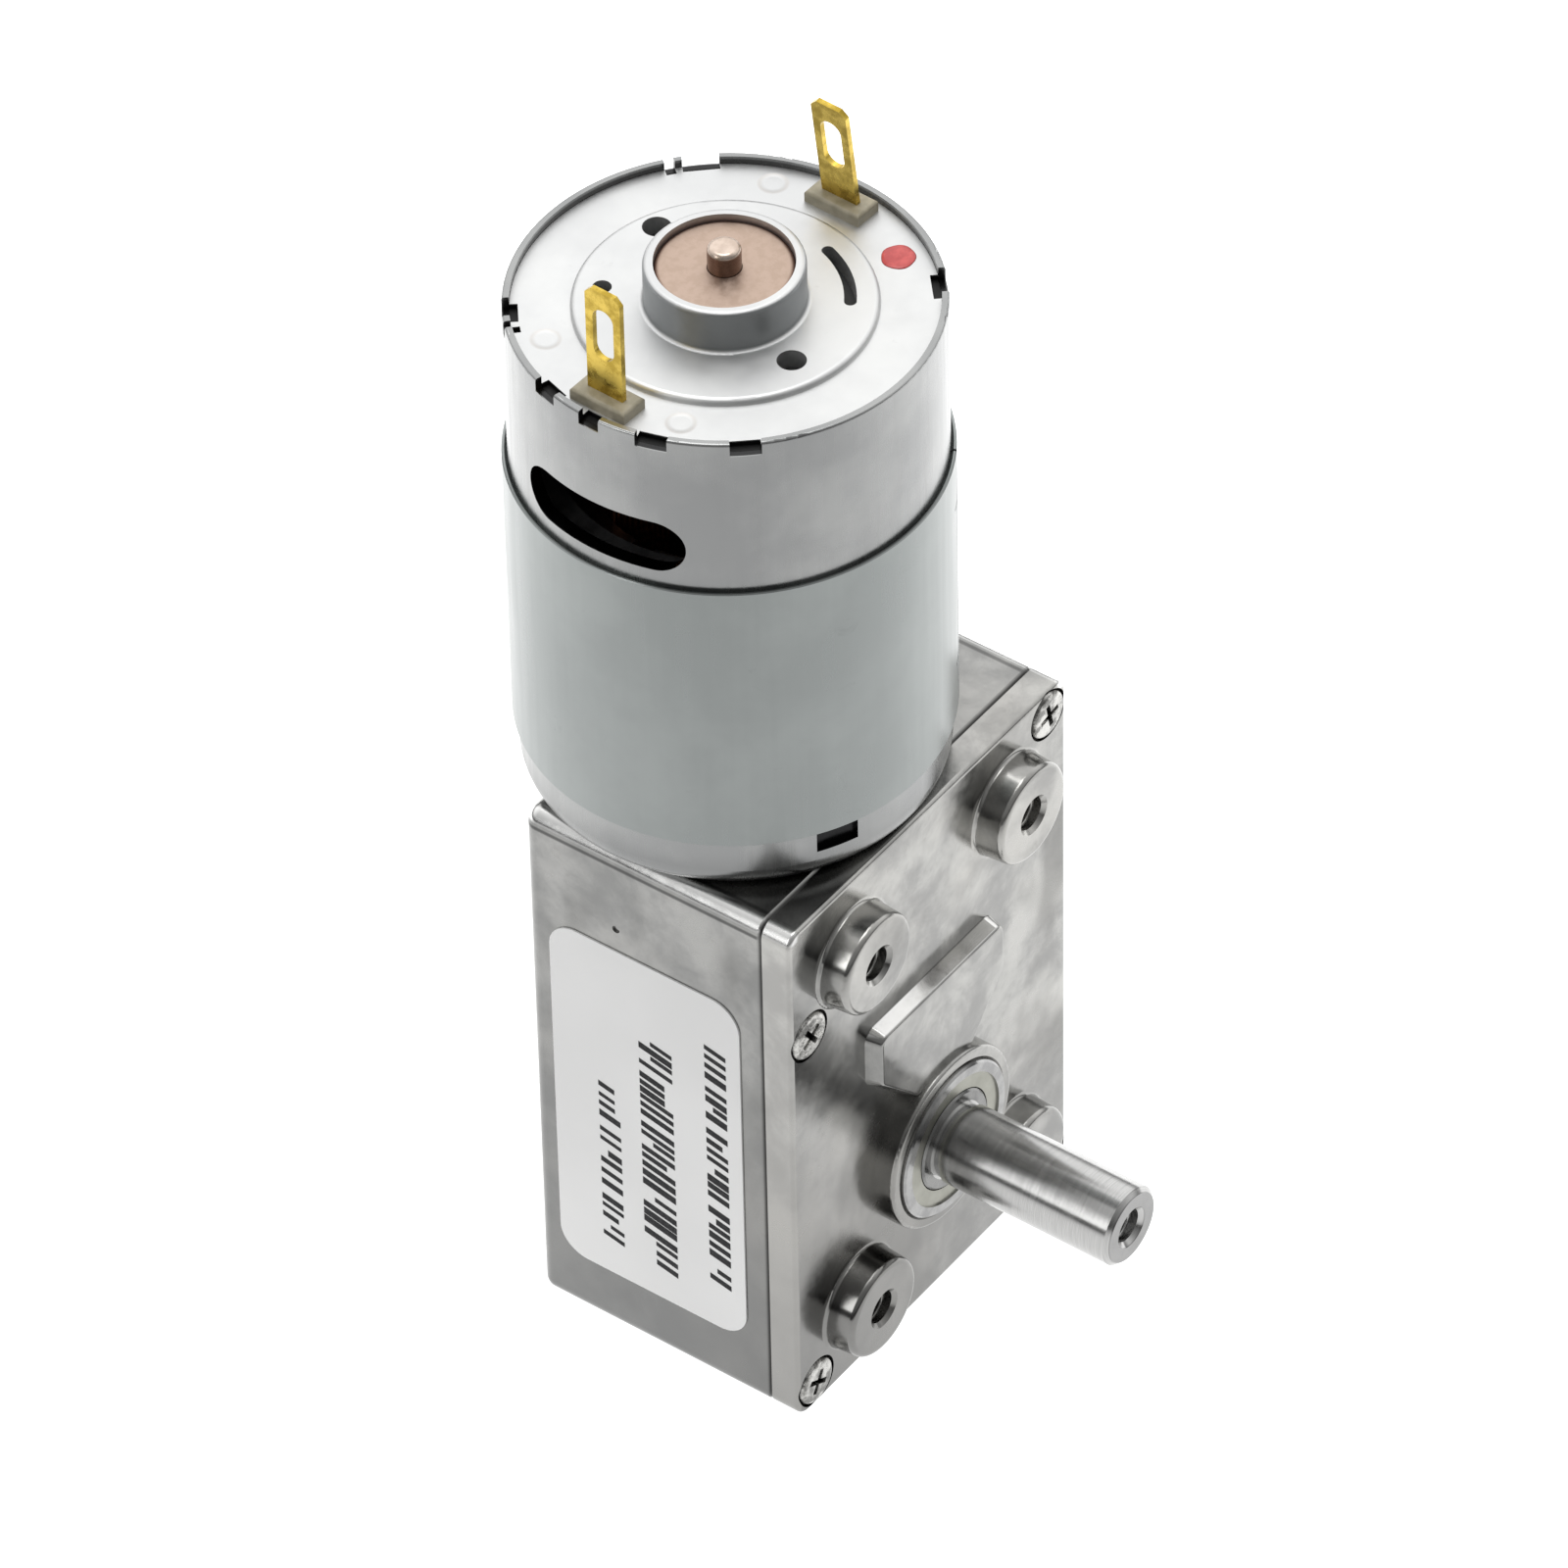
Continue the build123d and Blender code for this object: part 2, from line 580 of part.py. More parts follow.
save(worm_wheel, "worm_wheel")

FIRST_PINION_Y = 13.0
FIRST_PINION_W = 2.8
with BuildPart() as first_pinion:
    with BuildSketch(front(FIRST_PINION_Y)):
        with Locations((WHEEL_X, WHEEL_Z)):
            add(gear_outline(FIRST_MODULE, FIRST_PINION_TEETH, SMALL_TIP, SMALL_ROOT, TO_IDLER))
            make_face()
    extrude(amount=FIRST_PINION_W)
    with BuildSketch(front(WHEEL_BACK_Y)):
        with Locations((WHEEL_X, WHEEL_Z)):
            Circle(WHEEL_SLEEVE_R)
    extrude(amount=WHEEL_BACK_Y - FIRST_PINION_Y)
    with BuildSketch(front(SLEEVE_END_Y)):
        with Locations((WHEEL_X, WHEEL_Z)):
            Circle(1.9)
    extrude(amount=SLEEVE_END_Y - SLEEVE_START_Y)
    with BuildSketch(front(SLEEVE_END_Y)):
        with Locations((WHEEL_X, WHEEL_Z)):
            Circle(PIN_R + RUNNING)
    extrude(amount=SLEEVE_END_Y - SLEEVE_START_Y, mode=Mode.SUBTRACT)
save(first_pinion, "first_pinion")

for pin_name, spot in zip(("first_gear_pin", "second_gear_pin"), PIN_SPOTS):
    with BuildPart() as gear_pin:
        with BuildSketch(front(INNER_BACK_Y + 1.0)):
            with Locations(spot):
                Circle(PIN_R)
        extrude(amount=INNER_BACK_Y + 1.0 - (SEAM_Y - 1.3))
    save(gear_pin, pin_name)

# ---- two countersunk screws hold the motor to the housing's top wall
with BuildPart() as motor_screws:
    with BuildSketch(level(INNER_TOP_Z)):
        with Locations(*MOTOR_SCREW_SPOTS):
            Circle(MOTOR_SCREW_HEAD_R - 0.03)
    extrude(amount=1.0, taper=45)
    with BuildSketch(level(INNER_TOP_Z + 0.5)):
        with Locations(*MOTOR_SCREW_SPOTS):
            Circle(MOTOR_SCREW_R - 0.08)
    extrude(amount=TOP_WALL + CAN_WALL - 0.1)
    with BuildSketch(level(INNER_TOP_Z)):
        with Locations(*MOTOR_SCREW_SPOTS):
            Rectangle(2.2, CROSS_W)
            Rectangle(CROSS_W, 2.2)
    extrude(amount=0.6, mode=Mode.SUBTRACT)
save(motor_screws, "motor_screws")

# ---- motor can: a deep-drawn steel cup, closed at the gearbox end
PILOT_L = 1.7
FRONT_BUSH_R = 3.0
SLOT_Z = TOP_Z + 30.6
SLOT_L = 12.7
SLOT_H = 4.2
PLATE_T = 1.0
PLATE_Z = RIM_Z - 0.6                   # the end plate's outer face
PLATE_R = 14.2                          # the rim's bore, thinned so that it can be staked
NOTCH_D = 1.0
RIM_NOTCHES = {                         # angle round the motor's axis: width
    43: 2.5, 51.5: 0.7, 129: 1.8, 136: 0.6, 163: 2.0, 179: 1.6, -163: 2.2, -138.5: 2.1, -48: 2.4,
}
POCKET_ANGLE = -116                     # staked place under the flux ring
POCKET_Z = TOP_Z + RING_FROM - 0.95
POCKET_D = 0.5
POCKET_W = 3.1
POCKET_H = 1.9
with BuildPart() as can:
    with BuildSketch(level(TOP_Z)):
        Circle(CAN_R)
    extrude(amount=CAN_L)
    fillet(rounds_at(can, CAN_R, TOP_Z), 2.0)
    fillet(rounds_at(can, CAN_R, RIM_Z), 0.2)
    with BuildSketch(level(TOP_Z + CAN_WALL)):
        Circle(CAN_IN_R)
    extrude(amount=CAN_L, mode=Mode.SUBTRACT)
    fillet(rounds_at(can, CAN_IN_R, TOP_Z + CAN_WALL), 1.2)
    with BuildSketch(level(PLATE_Z - PLATE_T)):
        Circle(PLATE_R)
    extrude(amount=CAN_L, mode=Mode.SUBTRACT)
    with BuildSketch(level(TOP_Z)):
        Circle(MOTOR_BOSS_R - 0.05)
    extrude(amount=-PILOT_L)
    fillet(rounds_at(can, MOTOR_BOSS_R - 0.05, TOP_Z - PILOT_L), 0.4)
    with BuildSketch(level(TOP_Z - PILOT_L)):
        Circle(FRONT_BUSH_R)
        with Locations(*MOTOR_SCREW_SPOTS):
            Circle(MOTOR_SCREW_R - 0.08)
    extrude(amount=PILOT_L + CAN_WALL, mode=Mode.SUBTRACT)
    with BuildSketch(Plane.YZ.offset(MOTOR_X)):
        with Locations((MOTOR_Y, SLOT_Z)):
            SlotOverall(SLOT_L, SLOT_H)
    extrude(amount=CAN_R + 1, both=True, mode=Mode.SUBTRACT)
    for angle, width in RIM_NOTCHES.items():
        with Locations(Pos(MOTOR_X, MOTOR_Y, RIM_Z) * Rot(0, 0, angle) * Pos(CAN_R, 0, 0)):
            Box(2.4, width, 2 * NOTCH_D, mode=Mode.SUBTRACT)
    with Locations(Pos(MOTOR_X, MOTOR_Y, POCKET_Z) * Rot(0, 0, POCKET_ANGLE) * Pos(CAN_R, 0, 0)):
        Box(2 * POCKET_D, POCKET_W, POCKET_H, mode=Mode.SUBTRACT)
save(can, "motor_can")

# ---- flux ring: rolled steel strip round the can, closed by a keyed seam
RING_Z = TOP_Z + RING_FROM
RING_R = CAN_R + RING_T
SEAM_ANGLE = -58
with BuildPart() as flux_ring:
    with BuildSketch(level(RING_Z)):
        Circle(RING_R)
        Circle(CAN_R, mode=Mode.SUBTRACT)
    extrude(amount=RING_L)
    chamfer(rounds_at(flux_ring, CAN_R, RING_Z + RING_L), 0.2)
    chamfer(rounds_at(flux_ring, RING_R, RING_Z + RING_L), 0.08)
    chamfer(rounds_at(flux_ring, RING_R, RING_Z), 0.12)
    seam = Pos(MOTOR_X, MOTOR_Y, RING_Z + RING_L / 2) * Rot(0, 0, SEAM_ANGLE) * Pos(CAN_R, 0, 0)
    with Locations(seam):
        Box(3.0, 0.2, RING_L + 1, mode=Mode.SUBTRACT)
    for height in (-7.0, 7.0):
        with Locations(seam * Pos(0, 0, height)):
            Box(3.0, 2.4, 0.2, mode=Mode.SUBTRACT)
save(flux_ring, "flux_ring")

# ---- front bush of the motor, in the can's pilot boss
with BuildPart() as motor_front_bush:
    with BuildSketch(level(TOP_Z - PILOT_L)):
        Circle(FRONT_BUSH_R)
        Circle(ROTOR_SHAFT_R + RUNNING, mode=Mode.SUBTRACT)
    extrude(amount=PILOT_L + CAN_WALL + 0.6)
save(motor_front_bush, "motor_front_bush")

# ---- end plate: pressed steel disc with a raised step and a bearing cup
STEP_R = 10.2
STEP_H = 0.45
CUP_R = 5.4
CUP_TOP_Z = RIM_Z + 3.1
REAR_BUSH_R = 4.7
REAR_BUSH_TOP_Z = CUP_TOP_Z - 0.5
TERMINAL_R = 12.35
BLOCK_L = 4.5
BLOCK_W = 2.2
BLOCK_TOP_Z = PLATE_Z + 0.9
TERMINAL_SPOTS = [(-TERMINAL_R, 0), (TERMINAL_R, 0)]
PLATE_HOLES = [(68, 8.6, 1.0), (117, 8.2, 0.65), (-109, 7.6, 1.0)]    # angle, distance, radius
ARC_SLOT_W = 0.85
slot_arc = Edge.make_circle(8.2, start_angle=-57, end_angle=-19)
with BuildPart() as end_plate:
    with BuildSketch(level(PLATE_Z - PLATE_T)):
        Circle(PLATE_R - 0.02)
    extrude(amount=PLATE_T)
    with BuildSketch(level(PLATE_Z)):
        Circle(STEP_R)
    extrude(amount=STEP_H)
    fillet(rounds_at(end_plate, STEP_R, PLATE_Z + STEP_H), 0.4)
    with BuildSketch(level(PLATE_Z + STEP_H)):
        Circle(CUP_R)
    extrude(amount=CUP_TOP_Z - PLATE_Z - STEP_H)
    fillet(rounds_at(end_plate, CUP_R, PLATE_Z + STEP_H), 0.3)
    fillet(rounds_at(end_plate, CUP_R, CUP_TOP_Z), 0.35)
    with BuildSketch(level(PLATE_Z - PLATE_T)):
        Circle(REAR_BUSH_R)
        for angle, distance, hole_r in PLATE_HOLES:
            with Locations(polar(distance, radians(angle))):
                Circle(hole_r)
        SlotArc(slot_arc, ARC_SLOT_W)
    extrude(amount=CUP_TOP_Z - PLATE_Z + PLATE_T, mode=Mode.SUBTRACT)
    with BuildSketch(turned(PLATE_Z - PLATE_T)):
        with Locations(*TERMINAL_SPOTS):
            Rectangle(BLOCK_W, BLOCK_L)
    extrude(amount=PLATE_T, mode=Mode.SUBTRACT)
    for angle, width in RIM_NOTCHES.items():
        with Locations(Pos(MOTOR_X, MOTOR_Y, RIM_Z) * Rot(0, 0, angle) * Pos(CAN_R, 0, 0)):
            Box(2.2, width, 2 * NOTCH_D, mode=Mode.SUBTRACT)
save(end_plate, "end_plate")

# ---- rear bush of the motor, copper-coloured, in the end plate's cup
with BuildPart() as motor_rear_bush:
    with BuildSketch(level(PLATE_Z - PLATE_T)):
        Circle(REAR_BUSH_R)
        Circle(ROTOR_SHAFT_R + RUNNING, mode=Mode.SUBTRACT)
    extrude(amount=REAR_BUSH_TOP_Z - PLATE_Z + PLATE_T)
    fillet(rounds_at(motor_rear_bush, REAR_BUSH_R, REAR_BUSH_TOP_Z), 0.3)
save(motor_rear_bush, "motor_rear_bush")

# ---- brush holder: moulded disc under the end plate, with a block through it at each terminal
HOLDER_T = 1.8
HOLDER_Z = PLATE_Z - PLATE_T - HOLDER_T
LUG_T = 0.4
LUG_W = 2.9
with BuildPart() as brush_holder:
    with BuildSketch(level(HOLDER_Z)):
        Circle(CAN_IN_R - 0.1)
        Circle(5.2, mode=Mode.SUBTRACT)
    extrude(amount=HOLDER_T)
    with BuildSketch(turned(HOLDER_Z)):
        with Locations(*TERMINAL_SPOTS):
            Rectangle(BLOCK_W, BLOCK_L)
    extrude(amount=BLOCK_TOP_Z - HOLDER_Z)
    fillet(brush_holder.faces().filter_by(Axis.Z).group_by(Axis.Z)[-1].edges(), 0.25)
    with BuildSketch(turned(HOLDER_Z)):
        with Locations(*TERMINAL_SPOTS):
            Rectangle(LUG_T, LUG_W)
    extrude(amount=BLOCK_TOP_Z - HOLDER_Z, mode=Mode.SUBTRACT)
save(brush_holder, "brush_holder")

# ---- commutator: plastic sleeve with five copper segments
COMM_Z = TOP_Z + 31.0
COMM_L = 4.6
COMM_R = 3.3
COMM_SLEEVE_R = 2.3
with BuildPart() as commutator_sleeve:
    with BuildSketch(level(COMM_Z - 1.0)):
        Circle(COMM_SLEEVE_R)
        Circle(ROTOR_SHAFT_R, mode=Mode.SUBTRACT)
    extrude(amount=COMM_L + 1.4)
save(commutator_sleeve, "commutator_sleeve")

with BuildPart() as commutator:
    with BuildSketch(level(COMM_Z)):
        Circle(COMM_R)
        Circle(COMM_SLEEVE_R, mode=Mode.SUBTRACT)
        with PolarLocations(COMM_R, 5):
            Rectangle(2.4, 0.3, mode=Mode.SUBTRACT)
    extrude(amount=COMM_L)
save(commutator, "commutator_segments")

# ---- brushes, one at each side of the commutator, on their spring arms
BRUSH_GAP = 0.05
BRUSH_L = 3.0
BRUSH_Z = COMM_Z + 1.0
BRUSH_H = 3.0
ARM_Y = COMM_R + BRUSH_GAP + BRUSH_L + 0.15
with BuildPart() as carbon_brushes:
    with BuildSketch(turned(BRUSH_Z)):
        with Locations((0, COMM_R + BRUSH_GAP + BRUSH_L / 2), (0, -COMM_R - BRUSH_GAP - BRUSH_L / 2)):
            Rectangle(2.6, BRUSH_L)
    extrude(amount=BRUSH_H)
save(carbon_brushes, "carbon_brushes")

with BuildPart() as brush_arms:
    with BuildSketch(turned(BRUSH_Z + 0.3)):
        for side in (-1, 1):
            with BuildLine():
                Polyline(
                    (-side * 1.3, side * ARM_Y),
                    (side * 4.5, side * ARM_Y),
                    (side * (TERMINAL_R - 0.35), side * 1.4),
                    (side * (TERMINAL_R - 0.35), -side * 1.2),
                )
            trace(line_width=0.3)
    extrude(amount=BRUSH_H - 0.6)
save(brush_arms, "brush_arms")

# ---- terminals: flat brass lugs with a long eye, through the brush holder
LUG_OUT = 8.6           # above its block
LUG_IN = BLOCK_TOP_Z - BRUSH_Z
EYE_L = 4.2
EYE_W = 1.7
EYE_MIDDLE = 5.0        # above the block
LUG_LEANS = {"terminal_negative": (-1, 0), "terminal_positive": (1, radians(7.5))}
along = polar(1, TERMINAL_TURN)
for lug_name, (side, lean) in LUG_LEANS.items():
    spot = (MOTOR_X + side * TERMINAL_R * along[0], MOTOR_Y + side * TERMINAL_R * along[1], BLOCK_TOP_Z)
    upright = Plane(spot, x_dir=(-along[1], along[0], 0), z_dir=(*along, 0))
    leaning = Plane(
        spot,
        x_dir=(-along[1], along[0], 0),
        z_dir=(cos(lean) * along[0], cos(lean) * along[1], side * sin(lean)),
    )
    with BuildPart() as lug:
        with BuildSketch(upright):
            with Locations((0, -LUG_IN / 2)):
                Rectangle(LUG_W, LUG_IN)
        extrude(amount=LUG_T / 2, both=True)
        with BuildSketch(leaning):
            with Locations((0, LUG_OUT / 2)):
                Rectangle(LUG_W, LUG_OUT)
            chamfer(vertices().group_by(Axis.Y)[-1], 0.5)
            with Locations((0, EYE_MIDDLE)):
                SlotOverall(EYE_L, EYE_W, rotation=90, mode=Mode.SUBTRACT)
        extrude(amount=LUG_T / 2, both=True)
    save(lug, lug_name)

# ---- magnets: two arcs inside the can, held apart by two wire springs
MAGNET_Z = TOP_Z + 5.0
MAGNET_L = 22.0
MAGNET_HALF = 66.0
MAGNET_R = CAN_IN_R - 0.05
for magnet_name, middle in (("magnet_north", 0), ("magnet_south", 180)):
    with BuildPart() as magnet:
        with BuildSketch(level(MAGNET_Z)):
            with BuildLine():
                CenterArc((0, 0), (MAGNET_R + MAGNET_IN_R) / 2, middle - MAGNET_HALF, 2 * MAGNET_HALF)
            trace(line_width=MAGNET_R - MAGNET_IN_R)
        extrude(amount=MAGNET_L)
    save(magnet, magnet_name)

with BuildPart() as magnet_springs:
    for side in (-1, 1):
        with BuildSketch(level(MAGNET_Z + 1.0)):
            for bend in (-1, 1):
                with Locations(polar(CAN_IN_R - 0.6, radians(side * 90 + bend * 15))):
                    Circle(0.5)
        extrude(amount=MAGNET_L - 4.0)
        with BuildSketch(level(MAGNET_Z + 1.0)):
            with BuildLine():
                CenterArc((0, 0), CAN_IN_R - 0.6, side * 90 - 15, 30)
            trace(line_width=1.0)
        extrude(amount=1.0)
save(magnet_springs, "magnet_springs")

# ---- rotor
STACK_Z = TOP_Z + 7.0
STACK_L = 18.0
POLES = 5
SHAFT_BOTTOM_Z = WORM_BOTTOM_Z - 0.1
SHAFT_TOP_Z = CUP_TOP_Z + 1.3
with BuildPart() as rotor_shaft:
    with BuildSketch(level(SHAFT_BOTTOM_Z)):
        Circle(ROTOR_SHAFT_R)
    extrude(amount=SHAFT_TOP_Z - SHAFT_BOTTOM_Z)
    fillet(rounds_at(rotor_shaft, ROTOR_SHAFT_R, SHAFT_TOP_Z), 0.4)
    chamfer(rounds_at(rotor_shaft, ROTOR_SHAFT_R, SHAFT_BOTTOM_Z), 0.2)
save(rotor_shaft, "rotor_shaft")

POLE_W = 3.0
SHOE_R = 9.3
HUB_R = 4.6
with BuildPart() as rotor_stack:
    with BuildSketch(level(STACK_Z)):
        Circle(STACK_R)
        Circle(SHOE_R, mode=Mode.SUBTRACT)
        with PolarLocations(STACK_R - 1, POLES, start_angle=180 / POLES):
            Rectangle(5, 1.6, mode=Mode.SUBTRACT)
        Circle(HUB_R)
        with PolarLocations((SHOE_R + HUB_R) / 2, POLES):
            Rectangle(SHOE_R - HUB_R + 1.0, POLE_W)
        Circle(ROTOR_SHAFT_R, mode=Mode.SUBTRACT)
    extrude(amount=STACK_L)
save(rotor_stack, "rotor_stack")

COIL_W = 5.4
COIL_OVER = 2.0
with BuildPart() as windings:
    for n in range(POLES):
        angle = n * 360 / POLES
        coil_plane = Plane(Pos(MOTOR_X, MOTOR_Y, STACK_Z + STACK_L / 2) * Rot(0, 0, angle)
                           * Pos(HUB_R + 0.5, 0, 0) * Rot(0, 90, 0))
        with BuildSketch(coil_plane):
            RectangleRounded(STACK_L + 2 * COIL_OVER, COIL_W, 1.2)
            Rectangle(STACK_L, POLE_W, mode=Mode.SUBTRACT)
        extrude(amount=SHOE_R - HUB_R - 0.9)
save(windings, "rotor_windings")

with BuildPart() as rotor_spacers:
    with BuildSketch(level(STACK_Z - 2.4)):
        Circle(2.4)
        Circle(ROTOR_SHAFT_R, mode=Mode.SUBTRACT)
    extrude(amount=2.4)
    with BuildSketch(level(STACK_Z + STACK_L)):
        Circle(2.4)
        Circle(ROTOR_SHAFT_R, mode=Mode.SUBTRACT)
    extrude(amount=COMM_Z - 1.0 - STACK_Z - STACK_L)
save(rotor_spacers, "rotor_spacers")
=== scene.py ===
import math
import random
import bmesh
import bpy
from mathutils import Matrix, Vector


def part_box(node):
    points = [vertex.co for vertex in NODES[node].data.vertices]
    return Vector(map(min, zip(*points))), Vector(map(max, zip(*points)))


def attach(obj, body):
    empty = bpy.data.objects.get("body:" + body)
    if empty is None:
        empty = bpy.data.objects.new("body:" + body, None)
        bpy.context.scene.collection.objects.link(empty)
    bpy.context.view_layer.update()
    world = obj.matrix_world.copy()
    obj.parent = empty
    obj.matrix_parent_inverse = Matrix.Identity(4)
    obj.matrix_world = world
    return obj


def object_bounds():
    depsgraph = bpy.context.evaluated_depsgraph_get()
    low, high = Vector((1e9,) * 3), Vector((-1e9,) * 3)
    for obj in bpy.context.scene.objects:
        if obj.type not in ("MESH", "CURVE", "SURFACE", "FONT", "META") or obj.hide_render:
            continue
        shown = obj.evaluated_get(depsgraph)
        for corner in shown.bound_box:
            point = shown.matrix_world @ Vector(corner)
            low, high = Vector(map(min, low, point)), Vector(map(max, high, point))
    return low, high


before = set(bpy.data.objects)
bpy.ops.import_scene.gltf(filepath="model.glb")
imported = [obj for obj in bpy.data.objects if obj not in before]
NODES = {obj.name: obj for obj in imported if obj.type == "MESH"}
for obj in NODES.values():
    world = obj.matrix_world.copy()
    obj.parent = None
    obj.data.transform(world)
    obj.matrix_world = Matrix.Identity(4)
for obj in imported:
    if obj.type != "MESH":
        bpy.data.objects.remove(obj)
cad_low, cad_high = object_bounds()

MM = 0.001

# ---- sizes inside a node, which its box doesn't give
END_PLATE_T = 1.0 * MM
PLATE_R = 14.2 * MM
BUSH_R = 4.7 * MM
CUP_R = 5.4 * MM
FOOT_BAND_Z = 27.2 * MM         # painted shade darkens the can below this, under the flux ring

# ---- places read from the frame
can_low, can_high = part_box("motor_can")
AXIS_X = (can_low.x + can_high.x) / 2
AXIS_Y = (can_low.y + can_high.y) / 2
CAN_R = (can_high.x - can_low.x) / 2
RIM_Z = can_high.z
PLATE_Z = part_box("end_plate")[0].z + END_PLATE_T    # the end plate's outer face
SEAM_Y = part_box("gearbox_housing")[0].y             # where the cover meets the housing
SCREW_FACE_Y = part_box("cover_screws")[0].y
TIP_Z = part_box("rotor_shaft")[1].z
SHAFT_Z = sum(v.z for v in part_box("output_shaft")) / 2
SHAFT_TIP_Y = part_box("output_shaft")[0].y
LABEL_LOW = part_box("label")[0]


def on_plate(angle, distance):
    """A place on the end plate: degrees round the motor's axis, and mm away from it."""
    turn = math.radians(angle)
    return AXIS_X + distance * MM * math.cos(turn), AXIS_Y + distance * MM * math.sin(turn)


# ---- camera: a long lens from the left, front and above
CAMERA_AZIMUTH = -52.99         # degrees, from the front towards the right
CAMERA_ELEVATION = 43.2
CAMERA_ROLL = -1.26
CAMERA_TARGET = (13.43, 24.6, 2.72)     # mm
CAMERA_DISTANCE = 837.1                 # mm
CAMERA_LENS = 274.6
CAMERA_SENSOR = 36
CAMERA_CLIP = (0.05, 20)


def make_camera():
    azimuth = math.radians(CAMERA_AZIMUTH)
    elevation = math.radians(CAMERA_ELEVATION)
    roll = math.radians(CAMERA_ROLL)
    back = Vector((math.sin(azimuth) * math.cos(elevation),
                   -math.cos(azimuth) * math.cos(elevation),
                   math.sin(elevation)))
    level_right = Vector((math.cos(azimuth), math.sin(azimuth), 0))
    level_up = back.cross(level_right)
    right = math.cos(roll) * level_right + math.sin(roll) * level_up
    up = back.cross(right)
    data = bpy.data.cameras.new("camera")
    data.sensor_width = CAMERA_SENSOR
    data.lens = CAMERA_LENS
    data.clip_start, data.clip_end = CAMERA_CLIP
    camera = bpy.data.objects.new("camera", data)
    rotation = Matrix((right, up, back)).transposed()
    place = Vector(CAMERA_TARGET) * MM + back * (CAMERA_DISTANCE * MM)
    camera.matrix_world = Matrix.Translation(place) @ rotation.to_4x4()
    bpy.context.scene.collection.objects.link(camera)
    bpy.context.scene.camera = camera


make_camera()


# ---- node helpers
class Graph:
    """A node tree, with short calls for the nodes that the finishes and the sky share."""

    def __init__(self, tree, coordinates):
        self.tree = tree
        self.coords = tree.nodes.new("ShaderNodeTexCoord").outputs[coordinates]

    def link(self, source, target):
        self.tree.links.new(source, target)

    def put(self, value, socket):
        """Set a number or colour on a socket, or link an output to it."""
        if isinstance(value, (int, float)):
            socket.default_value = value
        elif isinstance(value, tuple):
            socket.default_value = value if len(value) == len(socket.default_value) else (*value, 1)
        else:
            self.link(value, socket)

    def scaled(self, scale):
        mapping = self.tree.nodes.new("ShaderNodeMapping")
        mapping.inputs["Scale"].default_value = scale
        self.link(self.coords, mapping.inputs["Vector"])
        return mapping.outputs["Vector"]

    def noise(self, scale, detail, rough, stretch=None, distort=0.0):
        node = self.tree.nodes.new("ShaderNodeTexNoise")
        node.inputs["Scale"].default_value = scale
        node.inputs["Detail"].default_value = detail
        node.inputs["Roughness"].default_value = rough
        node.inputs["Distortion"].default_value = distort
        self.link(self.scaled(stretch) if stretch else self.coords, node.inputs["Vector"])
        return node.outputs["Fac"]

    def ramp(self, value, low, high, out_low=0.0, out_high=1.0, smooth=True):
        node = self.tree.nodes.new("ShaderNodeMapRange")
        node.interpolation_type = "SMOOTHSTEP" if smooth else "LINEAR"
        self.put(value, node.inputs["Value"])
        node.inputs["From Min"].default_value = low
        node.inputs["From Max"].default_value = high
        node.inputs["To Min"].default_value = out_low
        node.inputs["To Max"].default_value = out_high
        return node.outputs["Result"]

    def rise(self, value, low, high, top=1.0):
        return self.ramp(value, low, high, 0.0, top)

    def fall(self, value, low, high, top=1.0):
        return self.ramp(value, low, high, top, 0.0)

    def band(self, value, start, full, fade, end):
        """One between full and fade, and nothing outside start and end."""
        return self.times(self.rise(value, start, full), self.fall(value, fade, end))

    def calc(self, operation, a, b=0.0):
        node = self.tree.nodes.new("ShaderNodeMath")
        node.operation = operation
        self.put(a, node.inputs[0])
        self.put(b, node.inputs[1])
        return node.outputs[0]

    def times(self, a, b):
        return self.calc("MULTIPLY", a, b)

    def blend(self, a, b, share):
        """A weighted sum: a has the share, b has the rest."""
        return self.calc("ADD", self.times(a, share), self.times(b, 1 - share))

    def waves(self, value, length):
        return self.calc("SINE", self.times(value, 2 * math.pi / length))

    def radius(self, a, b):
        return self.calc("SQRT", self.calc("ADD", self.times(a, a), self.times(b, b)))

    def mix(self, factor, a, b):
        node = self.tree.nodes.new("ShaderNodeMix")
        node.data_type = "RGBA"
        self.put(factor, node.inputs["Factor"])
        self.put(a, node.inputs["A"])
        self.put(b, node.inputs["B"])
        return node.outputs["Result"]

    def axes(self, origin=(0, 0, 0)):
        node = self.tree.nodes.new("ShaderNodeSeparateXYZ")
        shift = self.tree.nodes.new("ShaderNodeMapping")
        shift.inputs["Location"].default_value = [-v for v in origin]
        self.link(self.coords, shift.inputs["Vector"])
        self.link(shift.outputs["Vector"], node.inputs["Vector"])
        return node.outputs["X"], node.outputs["Y"], node.outputs["Z"]

    def along(self, direction):
        """How far the coordinates reach along a direction."""
        node = self.tree.nodes.new("ShaderNodeVectorMath")
        node.operation = "DOT_PRODUCT"
        self.link(self.coords, node.inputs[0])
        node.inputs[1].default_value = direction
        return node.outputs["Value"]

    def bump(self, height, strength, depth, under=None):
        """Relief of a depth in mm, over another bump where one is given."""
        node = self.tree.nodes.new("ShaderNodeBump")
        node.inputs["Strength"].default_value = strength
        node.inputs["Distance"].default_value = depth * MM
        self.link(height, node.inputs["Height"])
        if under is not None:
            self.link(under, node.inputs["Normal"])
        return node.outputs["Normal"]


